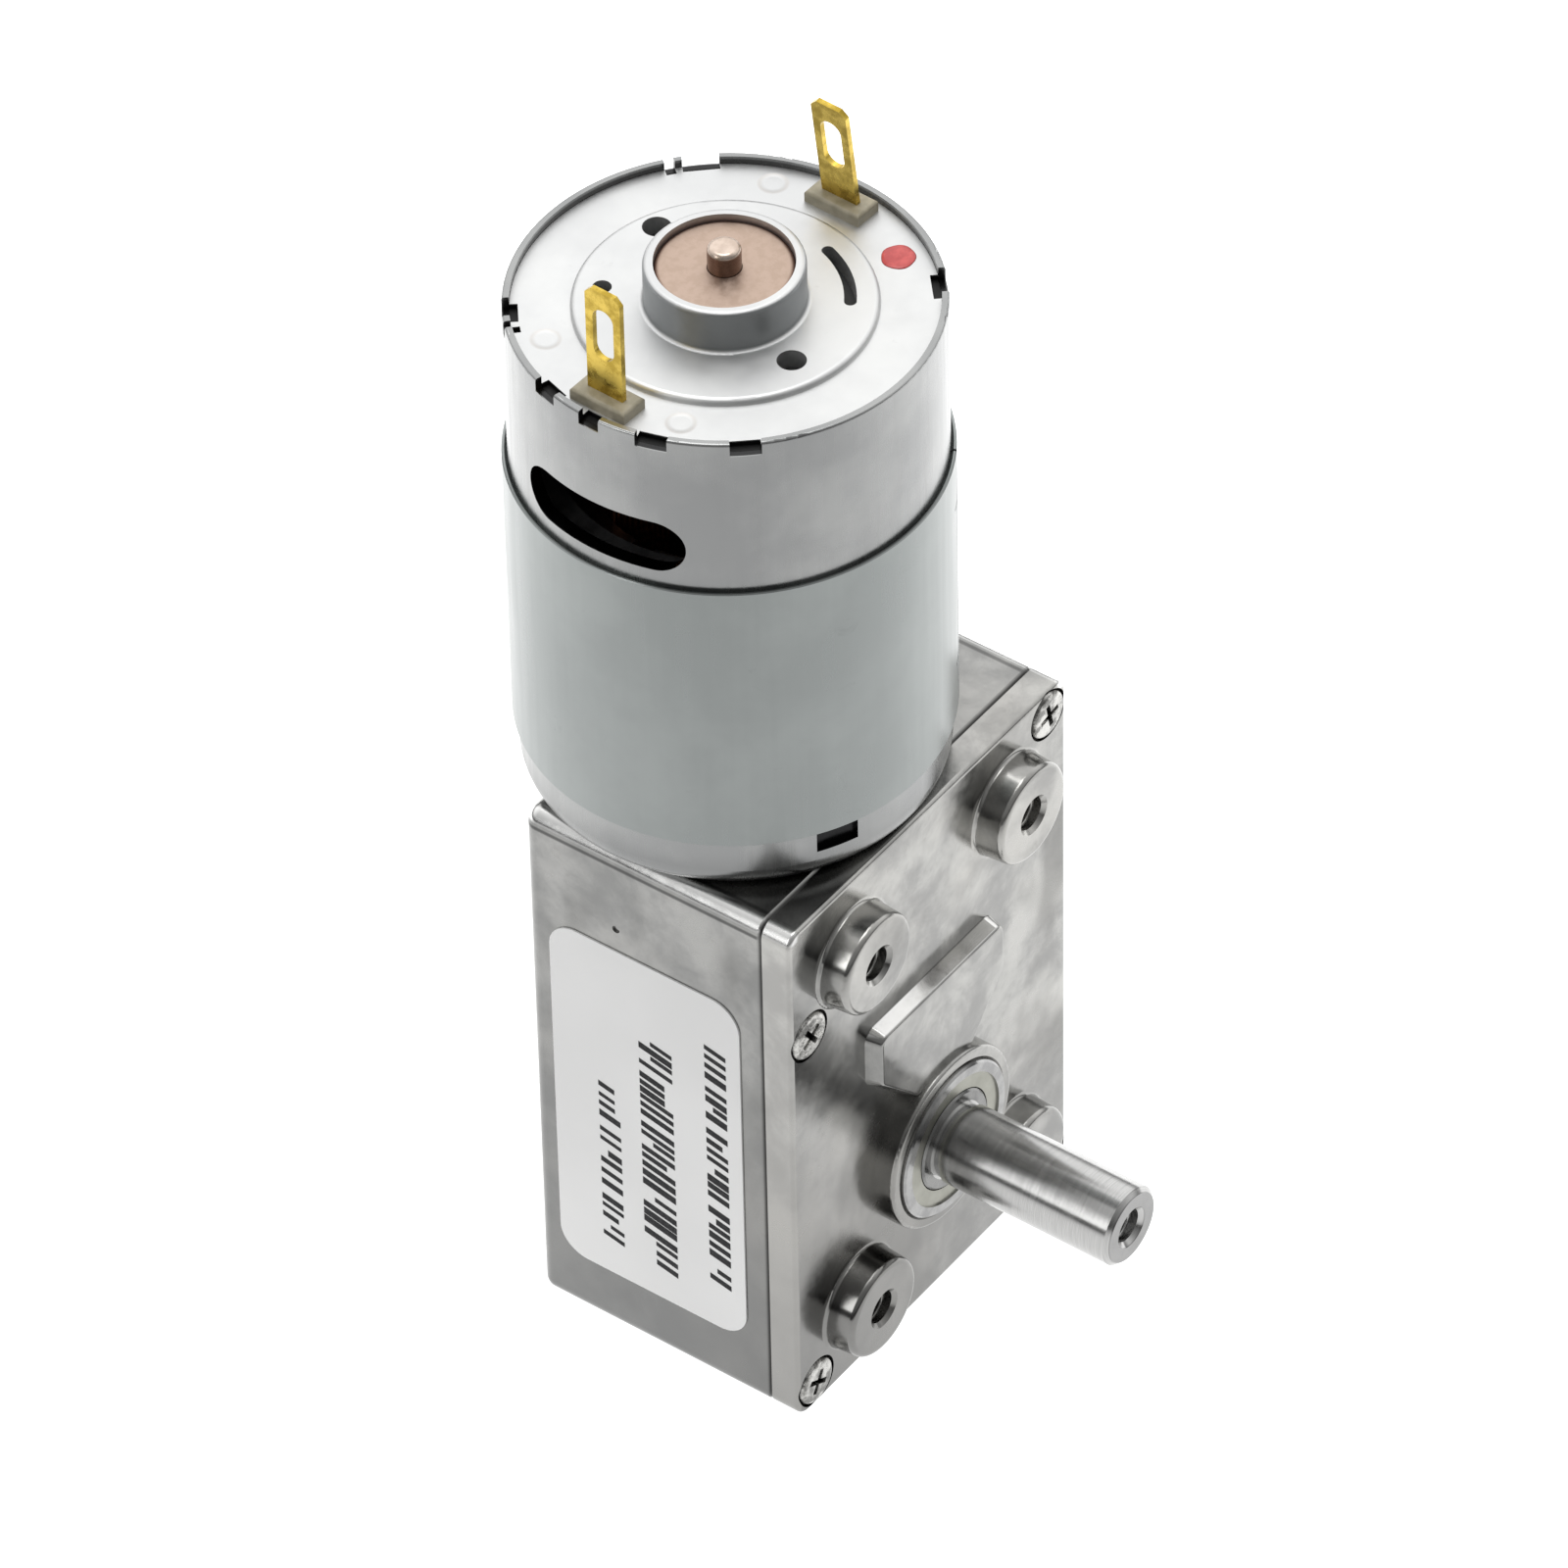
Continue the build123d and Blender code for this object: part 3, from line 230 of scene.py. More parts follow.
class Shader(Graph):
    """A material's node tree, on the object's own coordinates."""

    def __init__(self, name):
        self.material = bpy.data.materials.new(name)
        self.material.use_nodes = True
        super().__init__(self.material.node_tree, "Object")
        self.bsdf = self.tree.nodes["Principled BSDF"]

    def finish(self, color, rough, metallic=1.0, normal=None, **sockets):
        self.put(color, self.bsdf.inputs["Base Color"])
        self.put(rough, self.bsdf.inputs["Roughness"])
        self.bsdf.inputs["Metallic"].default_value = metallic
        if normal is not None:
            self.link(normal, self.bsdf.inputs["Normal"])
        for key, value in sockets.items():
            self.bsdf.inputs[key.replace("_", " ")].default_value = value
        return self.material


# ---- cast zinc: its tones, its painted shade, and the castings' edges that it picks out with painted highlights and dark reflections
ZINC_GREY, ZINC_LIGHT = (0.26, 0.26, 0.253), (0.45, 0.447, 0.43)
ZINC_FLOW = (0.55, 0.542, 0.512)
ZINC_WARM = (0.44, 0.42, 0.385)
ZINC_PATCH = (0.15, 0.148, 0.14)
ZINC_GRAIN = (0.20, 0.19, 0.175)
# painted shade, towards the lower left
ZINC_PAINTED_SHADE = (0.16, 0.16, 0.158)
HOUSING_SHADE = (0.18, 0.183, 0.183)
# painted highlights on the pad's bevel, the cover's sides and the top edges
BEVEL_PAINTED_HIGHLIGHT = (0.80, 0.795, 0.78)
STRIP_PAINTED_HIGHLIGHT = (0.62, 0.61, 0.58)
RIDGE_PAINTED_HIGHLIGHT = (0.85, 0.85, 0.84)
# painted dark reflection lines: under the housing's top edge, and on the top beside its edge
BROW_PAINTED_REFLECTION, LINE_PAINTED_REFLECTION = (0.03, 0.03, 0.03), (0.05, 0.05, 0.05)
# dark seam line; also painted shade in the screws' recesses and round their heads
NEAR_BLACK = (0.02, 0.02, 0.02)

SHADE_FROM, SHADE_TO = -38 * MM, 12 * MM                # of x + z: painted shade, dark at the lower left
PAD_Y = (-3.6 * MM, -3.5 * MM, -2.6 * MM, -2.5 * MM)    # the raised pad's depth; y is counted from the seam
PAD_SIDE = (7.9 * MM, 8.2 * MM)
PAD_BEVEL_Z, PAD_ABOVE_Z = (7.2 * MM, 7.4 * MM), (9.0 * MM, 9.5 * MM)
BROW_Z = (21.55 * MM, 21.75 * MM, 21.85 * MM, 22.05 * MM)   # painted dark reflection line under the housing's top edge
RIDGE_Z, RIDGE_SIDE = (22.1 * MM, 22.35 * MM), (14.9 * MM, 15.2 * MM)
LINE_SIDE = (14.4 * MM, 14.55 * MM, 14.7 * MM, 14.85 * MM)  # painted dark reflection line on the top, beside its edge
LINE_Z = (22.8 * MM, 22.9 * MM)
STRIP_SIDE, STRIP_Y = (15.6 * MM, 15.8 * MM), (-0.2 * MM, -0.1 * MM)
HOUSING_FROM, LINES_FROM = (0.0, 0.15 * MM), (0.0, 0.3 * MM)
SEAM_EDGE = (0.05 * MM, 0.17 * MM)


def cast_zinc():
    """Die-cast zinc: bright mottled skin with warm and dark patches, with painted shade to the lower left.

    Painted highlights pick out the pad's bevel, the cover's sides and the top edges; painted dark
    reflection lines run under and beside the top edges, and a thin dark line marks the seam. The
    housing is a little darker than the cover.
    """
    s = Shader("cast_zinc_finish")
    clouds = s.noise(170, 5, 0.62, distort=0.2)
    grain = s.noise(900, 4, 0.65)
    flow = s.noise(75, 3, 0.6, distort=0.35)
    patches = s.noise(120, 3, 0.5, stretch=(1.0, 1.0, 0.6), distort=0.2)
    warmth = s.noise(42, 2, 0.5)
    dents = s.noise(150, 2, 0.5, distort=0.5)
    x, y, z = s.axes((0, SEAM_Y, 0))
    side = s.calc("ABSOLUTE", x)

    tone = s.mix(s.rise(clouds, 0.34, 0.66), ZINC_GREY, ZINC_LIGHT)
    tone = s.mix(s.rise(flow, 0.52, 0.70, 0.6), tone, ZINC_FLOW)
    tone = s.mix(s.rise(warmth, 0.45, 0.70, 0.35), tone, ZINC_WARM)
    tone = s.mix(s.rise(patches, 0.52, 0.70, 0.60), tone, ZINC_PATCH)
    tone = s.mix(s.rise(grain, 0.58, 0.78, 0.22), tone, ZINC_GRAIN)
    # painted shade: darker towards the lower left
    tone = s.mix(s.fall(s.calc("ADD", x, z), SHADE_FROM, SHADE_TO, 0.80), tone, ZINC_PAINTED_SHADE)
    tone = s.mix(s.rise(y, *HOUSING_FROM, 0.30), tone, HOUSING_SHADE)

    # painted highlight along the pad's bevel
    bevel = s.times(s.band(y, *PAD_Y), s.fall(side, *PAD_SIDE))
    bevel = s.times(bevel, s.rise(z, *PAD_BEVEL_Z))
    tone = s.mix(s.times(bevel, s.fall(z, *PAD_ABOVE_Z, 0.8)), tone, BEVEL_PAINTED_HIGHLIGHT)
    # painted dark reflection line under the housing's top edge
    tone = s.mix(s.times(s.band(z, *BROW_Z), s.rise(y, *LINES_FROM, 0.75)), tone, BROW_PAINTED_REFLECTION)
    # painted highlight along the cover's sides
    strip = s.times(s.rise(side, *STRIP_SIDE), s.fall(y, *STRIP_Y, 0.25))
    tone = s.mix(strip, tone, STRIP_PAINTED_HIGHLIGHT)
    # painted dark reflection line on the top, beside its edge
    line = s.times(s.band(side, *LINE_SIDE), s.rise(z, *LINE_Z))
    tone = s.mix(s.times(line, s.rise(y, *LINES_FROM, 0.6)), tone, LINE_PAINTED_REFLECTION)
    # painted highlight along the top edges
    ridge = s.times(s.rise(z, *RIDGE_Z), s.rise(side, *RIDGE_SIDE, 0.75))
    tone = s.mix(ridge, tone, RIDGE_PAINTED_HIGHLIGHT)
    tone = s.mix(s.fall(s.calc("ABSOLUTE", y), *SEAM_EDGE, 0.75), tone, NEAR_BLACK)

    rough = s.ramp(s.blend(clouds, grain, 0.75), 0.3, 0.7, 0.12, 0.30)
    normal = s.bump(dents, 0.5, 0.16)
    normal = s.bump(grain, 0.2, 0.006, normal)
    return s.finish(tone, rough, normal=normal)


# ---- tin plate: the motor's can, ring and end plate
def tin_plate(name, tone_low, tone_high, rough_low, rough_high, streaks):
    """Bright tin-plated sheet: satin, with faint drawing lines along the axis and handling marks."""
    s = Shader(name)
    haze = s.noise(90, 4, 0.6)
    lines = s.noise(1.0, 3, 0.7, stretch=streaks)
    fine = s.noise(2600, 2, 0.6)
    scuff = s.noise(420, 5, 0.7, distort=1.0)
    tone = s.mix(s.rise(haze, 0.35, 0.68), tone_low, tone_high)
    tone = s.mix(s.rise(scuff, 0.62, 0.75, 0.35), tone, tuple(v * 0.82 for v in tone_low))
    rough = s.ramp(s.blend(haze, lines, 0.5), 0.3, 0.7, rough_low, rough_high)
    normal = s.bump(lines, 0.25, 0.01)
    normal = s.bump(fine, 0.15, 0.006, normal)
    return s, tone, rough, normal


CAN_INSIDE_R = (CAN_R - 0.12 * MM, CAN_R - 0.05 * MM)       # inside this it is bore or cut sheet
CAN_DARK_TOP_Z = (RIM_Z - 0.3 * MM, RIM_Z - 0.1 * MM)
CAN_DARK_FOOT_Z = (24 * MM, 26 * MM)
NOTCH_FLOOR_Z = (PLATE_Z - 0.5 * MM, PLATE_Z - 0.2 * MM)
FOOT_FADE = 4 * MM


def can_finish():
    """Outside bright, with painted shade at the foot; painted shade darkens the bore and the cut faces of
    the rim's notches.
    """
    s, tone, rough, normal = tin_plate("tin_plate_can", (0.31, 0.315, 0.315), (0.40, 0.405, 0.40),
                                       0.20, 0.34, (1500, 1500, 60))
    x, y, z = s.axes((AXIS_X, AXIS_Y, 0))
    inside = s.fall(s.radius(x, y), *CAN_INSIDE_R)
    # painted shade in the bore and on the cut faces of the rim's notches, deepest below the plate's face
    dark = s.times(s.times(inside, s.fall(z, *CAN_DARK_TOP_Z)), s.rise(z, *CAN_DARK_FOOT_Z))
    # painted shade at the foot, under the flux ring
    foot = s.ramp(z, FOOT_BAND_Z - FOOT_FADE, FOOT_BAND_Z, 0.55, 0.10)
    tone = s.mix(foot, tone, (0.12, 0.122, 0.122))
    tone = s.mix(dark, tone, s.mix(s.rise(z, *NOTCH_FLOOR_Z), (0.02, 0.02, 0.021), (0.10, 0.10, 0.10)))
    return s.finish(tone, rough, normal=normal)


def ring_finish():
    s, tone, rough, normal = tin_plate("tin_plate_ring", (0.272, 0.289, 0.285), (0.308, 0.327, 0.322),
                                       0.26, 0.36, (1200, 1200, 40))
    return s.finish(tone, rough, normal=normal)


PUNCH_MARKS = ((142, 12.2), (-157.5, 12.1), (21.7, 12.5))      # angle, and mm from the motor's axis
PUNCH_R = 0.95 * MM
PUNCH_EDGE = (PUNCH_R - 0.3 * MM, PUNCH_R, PUNCH_R, PUNCH_R + 0.2 * MM)
PUNCH_WALL = (PUNCH_R - 0.35 * MM, PUNCH_R + 0.15 * MM)
PLATE_RIM = (PLATE_R - 0.75 * MM, PLATE_R - 0.65 * MM)
PLATE_CUT_Z = (-0.12 * MM, -0.04 * MM)                         # below the plate's face
CUP_WALL = (CUP_R - 0.16 * MM, CUP_R - 0.06 * MM, CUP_R + 0.05 * MM, CUP_R + 0.3 * MM)
CUP_FOOT_Z = (0.5 * MM, 0.7 * MM)                              # above the plate's face


def plate_finish():
    """Bright plate with three shallow punch marks, and painted shade on the cup wall and on the cut faces
    at the notches.
    """
    s, tone, rough, normal = tin_plate("tin_plate_end", (0.61, 0.615, 0.615), (0.69, 0.695, 0.69),
                                       0.42, 0.52, (700, 700, 700))
    for angle, distance in PUNCH_MARKS:
        x, y, z = s.axes((*on_plate(angle, distance), 0))
        away = s.radius(x, y)
        tone = s.mix(s.times(s.band(away, *PUNCH_EDGE), 0.3), tone, (0.50, 0.45, 0.40))
        normal = s.bump(s.rise(away, *PUNCH_WALL), 0.7, 0.07, normal)
    x, y, z = s.axes((AXIS_X, AXIS_Y, PLATE_Z))
    away = s.radius(x, y)
    # painted shade on the plate's cut faces at the notches
    cut = s.times(s.rise(away, *PLATE_RIM), s.fall(z, *PLATE_CUT_Z))
    tone = s.mix(cut, tone, (0.03, 0.03, 0.03))
    # painted shade on the cup's wall
    wall = s.times(s.band(away, *CUP_WALL), s.rise(z, *CUP_FOOT_Z))
    tone = s.mix(wall, tone, (0.30, 0.31, 0.315))
    return s.finish(tone, rough, normal=normal)


# ---- bush and shafts
# dark copper brown: painted shade at the bush's rim; also the tip's darker side
DARK_COPPER = (0.13, 0.065, 0.045)
BUSH_EDGE = (BUSH_R - 0.45 * MM, BUSH_R - 0.1 * MM)
TIP_FOOT_Z = (-0.45 * MM, -0.2 * MM)        # below the tip's end
SHAFT_FACE_Y = (0.03 * MM, 0.08 * MM)       # behind the shaft's end
AROUND_Y = (300, 22000, 300)                # stretches noise to lines round an axis
AROUND_Z = (300, 300, 22000)


def bush_finish():
    """Copper-coloured sintered bush, with painted shade where its face meets the cup's wall."""
    s = Shader("sintered_copper")
    cloud = s.noise(1400, 4, 0.6)
    fine = s.noise(7000, 2, 0.6)
    x, y, z = s.axes((AXIS_X, AXIS_Y, 0))
    tone = s.mix(s.rise(cloud, 0.35, 0.65), (0.43, 0.325, 0.26), (0.51, 0.395, 0.325))
    # painted shade where the face meets the cup's wall
    tone = s.mix(s.rise(s.radius(x, y), *BUSH_EDGE), tone, DARK_COPPER)
    normal = s.bump(fine, 0.35, 0.02)
    return s.finish(tone, s.ramp(cloud, 0.3, 0.7, 0.42, 0.58), normal=normal)


def turned_skin(s, low, high, rough_low, rough_high):
    """Tone and roughness of a bar with fine lines round it, and the lines themselves."""
    lines = s.noise(1.0, 4, 0.7, stretch=AROUND_Y)
    marks = s.noise(500, 4, 0.65)
    tone = s.mix(s.rise(lines, 0.3, 0.7), low, high)
    rough = s.ramp(s.blend(lines, marks, 0.6), 0.3, 0.7, rough_low, rough_high)
    return tone, rough, lines


def turned_steel(name, low, high, rough_low, rough_high):
    s = Shader(name)
    tone, rough, lines = turned_skin(s, low, high, rough_low, rough_high)
    return s.finish(tone, rough, normal=s.bump(lines, 0.5, 0.006))


def shaft_finish():
    """Ground bar with fine lines round it; its faced end is darker."""
    s = Shader("ground_bar")
    tone, rough, lines = turned_skin(s, (0.41, 0.41, 0.405), (0.53, 0.528, 0.52), 0.15, 0.24)
    x, y, z = s.axes((0, SHAFT_TIP_Y, 0))
    tone = s.mix(s.fall(y, *SHAFT_FACE_Y, 0.55), tone, (0.15, 0.15, 0.15))
    return s.finish(tone, rough, normal=s.bump(lines, 0.5, 0.0012))


def tip_finish():
    """Ground shaft, copper-coloured; its side is dark where it stands in the bush."""
    s = Shader("ground_wire")
    lines = s.noise(1.0, 4, 0.7, stretch=AROUND_Z)
    marks = s.noise(900, 3, 0.6)
    x, y, z = s.axes((0, 0, TIP_Z))
    tone = s.mix(s.rise(marks, 0.35, 0.65), (0.52, 0.42, 0.35), (0.66, 0.55, 0.47))
    tone = s.mix(s.fall(z, *TIP_FOOT_Z, 0.8), tone, DARK_COPPER)
    normal = s.bump(lines, 0.5, 0.004)
    return s.finish(tone, s.ramp(lines, 0.3, 0.7, 0.24, 0.36), normal=normal)


# ---- brush holder and cover screws
HOLDER_SHADE_Z = (-0.6 * MM, -0.3 * MM)     # painted shade below the plate's face
SCREW_SHADE_Y = (0.12 * MM, 0.35 * MM)     # painted shade behind the heads' faces


def holder_finish():
    """Moulded brush holder: grey-brown blocks outside, with painted shade making it black through the
    plate's holes.
    """
    s = Shader("holder_moulding")
    cloud = s.noise(900, 4, 0.6)
    fine = s.noise(4500, 2, 0.6)
    x, y, z = s.axes((0, 0, PLATE_Z))
    tone = s.mix(s.rise(cloud, 0.35, 0.65), (0.30, 0.27, 0.19), (0.40, 0.36, 0.265))
    # painted shade: black through the plate's holes
    tone = s.mix(s.fall(z, *HOLDER_SHADE_Z), tone, (0.008, 0.008, 0.008))
    normal = s.bump(fine, 0.4, 0.02)
    return s.finish(tone, s.ramp(cloud, 0.3, 0.7, 0.38, 0.55), metallic=0.0, normal=normal)


def screw_finish():
    """Zinc-plated heads: bright worn faces, with painted shade in the cross recess and round the edge."""
    s = Shader("zinc_screw")
    cloud = s.noise(1100, 4, 0.6)
    fine = s.noise(5200, 3, 0.65)
    x, y, z = s.axes((0, SCREW_FACE_Y, 0))
    tone = s.mix(s.rise(cloud, 0.38, 0.62), (0.16, 0.158, 0.15), (0.62, 0.615, 0.59))
    # painted shade in the cross recess and round the heads
    tone = s.mix(s.rise(y, *SCREW_SHADE_Y, 0.92), tone, NEAR_BLACK)
    normal = s.bump(fine, 0.6, 0.08)
    return s.finish(tone, s.ramp(cloud, 0.3, 0.7, 0.14, 0.32), normal=normal)


# ---- even finishes, for pieces that show little or nothing
def plain_metal(name, low, high, rough_low, rough_high, scale=800, depth=0.01):
    s = Shader(name)
    cloud = s.noise(scale, 4, 0.6)
    fine = s.noise(scale * 6, 2, 0.6)
    tone = s.mix(s.rise(cloud, 0.35, 0.65), low, high)
    rough = s.ramp(cloud, 0.3, 0.7, rough_low, rough_high)
    return s.finish(tone, rough, normal=s.bump(fine, 0.35, depth))


def moulded(name, low, high, rough_low, rough_high, scale=900, depth=0.02):
    s = Shader(name)
    cloud = s.noise(scale, 4, 0.6)
    fine = s.noise(scale * 5, 2, 0.6)
    tone = s.mix(s.rise(cloud, 0.35, 0.65), low, high)
    rough = s.ramp(cloud, 0.3, 0.7, rough_low, rough_high)
    return s.finish(tone, rough, metallic=0.0, normal=s.bump(fine, 0.4, depth))


WIRE_PITCH = 0.35 * MM
SHEET_PITCH = 0.5 * MM


def wound_wire():
    """Enamelled wire laid side by side: ridges along the coil."""
    s = Shader("enamelled_wire")
    x, y, z = s.axes((AXIS_X, AXIS_Y, 0))
    cloud = s.noise(900, 3, 0.6)
    tone = s.mix(s.rise(cloud, 0.35, 0.65), (0.16, 0.05, 0.02), (0.34, 0.13, 0.055))
    normal = s.bump(s.waves(s.radius(x, y), WIRE_PITCH), 0.7, 0.08)
    return s.finish(tone, 0.32, metallic=0.85, normal=normal, Coat_Weight=0.5)


def laminated():
    """Stamped sheets in a stack: a fine line at each sheet."""
    s = Shader("laminated_steel")
    x, y, z = s.axes()
    cloud = s.noise(500, 3, 0.6)
    tone = s.mix(s.rise(cloud, 0.35, 0.65), (0.22, 0.22, 0.23), (0.32, 0.32, 0.33))
    normal = s.bump(s.waves(z, SHEET_PITCH), 0.6, 0.05)
    return s.finish(tone, 0.38, normal=normal)


# ---- label, its ink, and the dot's paint
def label_stock():
    s = Shader("label_stock")
    cloud = s.noise(60, 3, 0.5)
    fibre = s.noise(2500, 3, 0.6)
    tone = s.mix(s.rise(cloud, 0.35, 0.65), (0.745, 0.745, 0.74), (0.79, 0.79, 0.785))
    normal = s.bump(fibre, 0.15, 0.006)
    return s.finish(tone, s.ramp(fibre, 0.3, 0.7, 0.30, 0.42), metallic=0.0, normal=normal)


def label_ink():
    s = Shader("label_ink")
    fleck = s.noise(4000, 2, 0.6)
    tone = s.mix(s.rise(fleck, 0.4, 0.75), (0.012, 0.012, 0.014), (0.035, 0.035, 0.037))
    return s.finish(tone, 0.6, metallic=0.0, Specular_IOR_Level=0.2)


def dot_paint():
    s = Shader("dot_paint")
    cloud = s.noise(1500, 3, 0.6)
    tone = s.mix(s.rise(cloud, 0.35, 0.7), (0.50, 0.042, 0.042), (0.66, 0.085, 0.078))
    normal = s.bump(cloud, 0.4, 0.04)
    return s.finish(tone, 0.35, metallic=0.0, normal=normal, Coat_Weight=0.3)


# ---- finishes of the CAD nodes: name, dark and light tone, least and most roughness
SHAFT = shaft_finish()
TIP = tip_finish()
OUTER_RACE = plain_metal("outer_race_finish", (0.26, 0.26, 0.26), (0.36, 0.36, 0.355),
                         0.10, 0.20, scale=600)
# painted shade: the race steel made darker for the inner ring, which the shaft shades
INNER_RACE_SHADED = plain_metal("inner_race_painted_shade", (0.15, 0.15, 0.148), (0.24, 0.24, 0.235),
                         0.16, 0.28, scale=600)
SHIELD = turned_steel("shield_finish", (0.25, 0.25, 0.215), (0.34, 0.34, 0.30), 0.26, 0.40)
PINS = turned_steel("pin_finish", (0.45, 0.45, 0.45), (0.60, 0.60, 0.60), 0.15, 0.28)
ZINC = cast_zinc()
GEAR_STEEL = plain_metal("gear_steel_finish", (0.24, 0.24, 0.245), (0.36, 0.36, 0.365),
                         0.28, 0.45, scale=700, depth=0.02)
BRASS = plain_metal("stamped_brass", (0.42, 0.29, 0.04), (0.74, 0.54, 0.11), 0.20, 0.32, scale=900)
GEAR_BRASS = plain_metal("hobbed_brass", (0.55, 0.40, 0.14), (0.70, 0.54, 0.22),
                         0.26, 0.40, scale=700)
SCREW = screw_finish()
MOTOR_SCREW = plain_metal("motor_screw_finish", (0.20, 0.20, 0.19), (0.56, 0.555, 0.53),
                          0.14, 0.32, scale=1100)
BRONZE = plain_metal("sintered_bronze", (0.30, 0.19, 0.10), (0.44, 0.30, 0.17),
                     0.38, 0.55, scale=1500, depth=0.03)
COPPER = plain_metal("bright_copper", (0.55, 0.26, 0.15), (0.72, 0.38, 0.24), 0.24, 0.38, scale=900)
COPPER_BUSH = bush_finish()
FERRITE = moulded("ferrite", (0.035, 0.035, 0.037), (0.07, 0.07, 0.072),
                  0.45, 0.65, scale=700, depth=0.05)
CARBON = moulded("pressed_carbon", (0.02, 0.02, 0.02), (0.045, 0.045, 0.045), 0.40, 0.60)
HOLDER = holder_finish()
SLEEVE = moulded("phenolic_sleeve", (0.16, 0.035, 0.02), (0.24, 0.06, 0.035), 0.30, 0.45)
SPACER = moulded("nylon_spacer", (0.62, 0.58, 0.44), (0.72, 0.69, 0.56), 0.35, 0.5)
CAGE = plain_metal("pressed_cage", (0.40, 0.37, 0.28), (0.52, 0.48, 0.36), 0.30, 0.45)

FINISHES = {
    "gearbox_housing": ZINC,
    "gearbox_cover": ZINC,
    "cover_screws": SCREW,
    "label": label_stock(),
    "output_shaft": SHAFT,
    "retaining_ring": GEAR_STEEL,
    "bearing_outer_ring": OUTER_RACE,
    "bearing_inner_ring": INNER_RACE_SHADED,
    "bearing_balls": OUTER_RACE,
    "bearing_cage": CAGE,
    "bearing_shields": SHIELD,
    "rear_bush": BRONZE,
    "output_gear": GEAR_STEEL,
    "second_gear": GEAR_STEEL,
    "second_pinion": GEAR_STEEL,
    "first_pinion": GEAR_STEEL,
    "worm": GEAR_BRASS,
    "worm_wheel": GEAR_BRASS,
    "first_gear_pin": PINS,
    "second_gear_pin": PINS,
    "motor_screws": MOTOR_SCREW,
    "motor_can": can_finish(),
    "flux_ring": ring_finish(),
    "end_plate": plate_finish(),
    "motor_front_bush": BRONZE,
    "motor_rear_bush": COPPER_BUSH,
    "brush_holder": HOLDER,
    "commutator_sleeve": SLEEVE,
    "commutator_segments": COPPER,
    "carbon_brushes": CARBON,
    "brush_arms": COPPER,
    "terminal_negative": BRASS,
    "terminal_positive": BRASS,
    "magnet_north": FERRITE,
    "magnet_south": FERRITE,
    "magnet_springs": PINS,
    "rotor_shaft": TIP,
    "rotor_stack": laminated(),
    "rotor_windings": wound_wire(),
    "rotor_spacers": SPACER,
}
for node, material in FINISHES.items():
    NODES[node].material_slots[0].material = material


# ---- pieces added to the CAD
def make_object(name, mesh, material, body, smooth=True):
    """Turn a finished bmesh into a piece that rides on a body."""
    data = bpy.data.meshes.new(name)
    mesh.to_mesh(data)
    mesh.free()
    obj = bpy.data.objects.new(name, data)
    bpy.context.scene.collection.objects.link(obj)
    obj.data.materials.append(material)
    for polygon in obj.data.polygons:
        polygon.use_smooth = smooth
    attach(obj, body)
    return obj


# ---- helical threads in the four bosses and in the shaft's end
THREAD_R = 1.25 * MM
THREAD_DEPTH = 0.2 * MM
THREAD_SINK = 0.02 * MM                     # the ridge's root lies this far in the wall
THREAD_PITCH = 0.5 * MM
THREAD_STEPS = 28                           # per turn
THREAD_ROOT, THREAD_CREST = 0.42, 0.08      # half widths, as parts of the pitch
OUTWARD = Vector((0, -1, 0))                # out of every hole's mouth
THREAD_SIDE = Vector((0, 0, 1))
THREAD_ACROSS = OUTWARD.cross(THREAD_SIDE)

BOSS_X, BOSS_Z = 9 * MM, 16.5 * MM
BOSS_THREAD_Y, BOSS_THREAD_L = 0.75 * MM, 3.3 * MM
SHAFT_THREAD_IN, SHAFT_THREAD_L = 0.8 * MM, 6.5 * MM


def make_thread(name, mouth, length, material, body):
    """The helical ridge of a tapped hole, from just inside its mouth."""
    count = int(length / THREAD_PITCH * THREAD_STEPS)
    mesh = bmesh.new()
    rings = []
    for k in range(count + 1):
        angle = 2 * math.pi * k / THREAD_STEPS
        fade = min(1.0, k / THREAD_STEPS, (count - k) / THREAD_STEPS)
        ray = THREAD_SIDE * math.cos(angle) + THREAD_ACROSS * math.sin(angle)
        at = Vector(mouth) - OUTWARD * (THREAD_PITCH * k / THREAD_STEPS)
        root = at + ray * (THREAD_R + THREAD_SINK)
        crest = at + ray * (THREAD_R - THREAD_DEPTH * fade)
        half_root = OUTWARD * (THREAD_ROOT * THREAD_PITCH)
        half_crest = OUTWARD * (THREAD_CREST * THREAD_PITCH)
        ring = (root + half_root, crest + half_crest, crest - half_crest, root - half_root)
        rings.append([mesh.verts.new(point) for point in ring])
    for a, b in zip(rings, rings[1:]):
        for j in range(4):
            mesh.faces.new((a[j], a[(j + 1) % 4], b[(j + 1) % 4], b[j]))
    mesh.faces.new(reversed(rings[0]))
    mesh.faces.new(rings[-1])
    bmesh.ops.recalc_face_normals(mesh, faces=mesh.faces)
    return make_object(name, mesh, material, body)


for row, z in (("lower", -BOSS_Z), ("upper", BOSS_Z)):
    for side, x in (("left", -BOSS_X), ("right", BOSS_X)):
        make_thread(f"thread_{row}_{side}", (x, BOSS_THREAD_Y, z), BOSS_THREAD_L,
                    ZINC, "root")
make_thread("thread_shaft_end", (0, SHAFT_TIP_Y + SHAFT_THREAD_IN, SHAFT_Z), SHAFT_THREAD_L,
            SHAFT, "output")


# ---- red polarity dot on the end plate: a small domed drop of paint
DOT_ANGLE, DOT_DISTANCE = -32.5, 12.2       # degrees, and mm from the motor's axis
DOT_R = 1.2 * MM
DOT_SEGMENTS = 48
DOT_RINGS = ((1.0, 0.0), (0.93, 0.05), (0.75, 0.08), (0.45, 0.1), (0.15, 0.11))   # part of radius, mm up


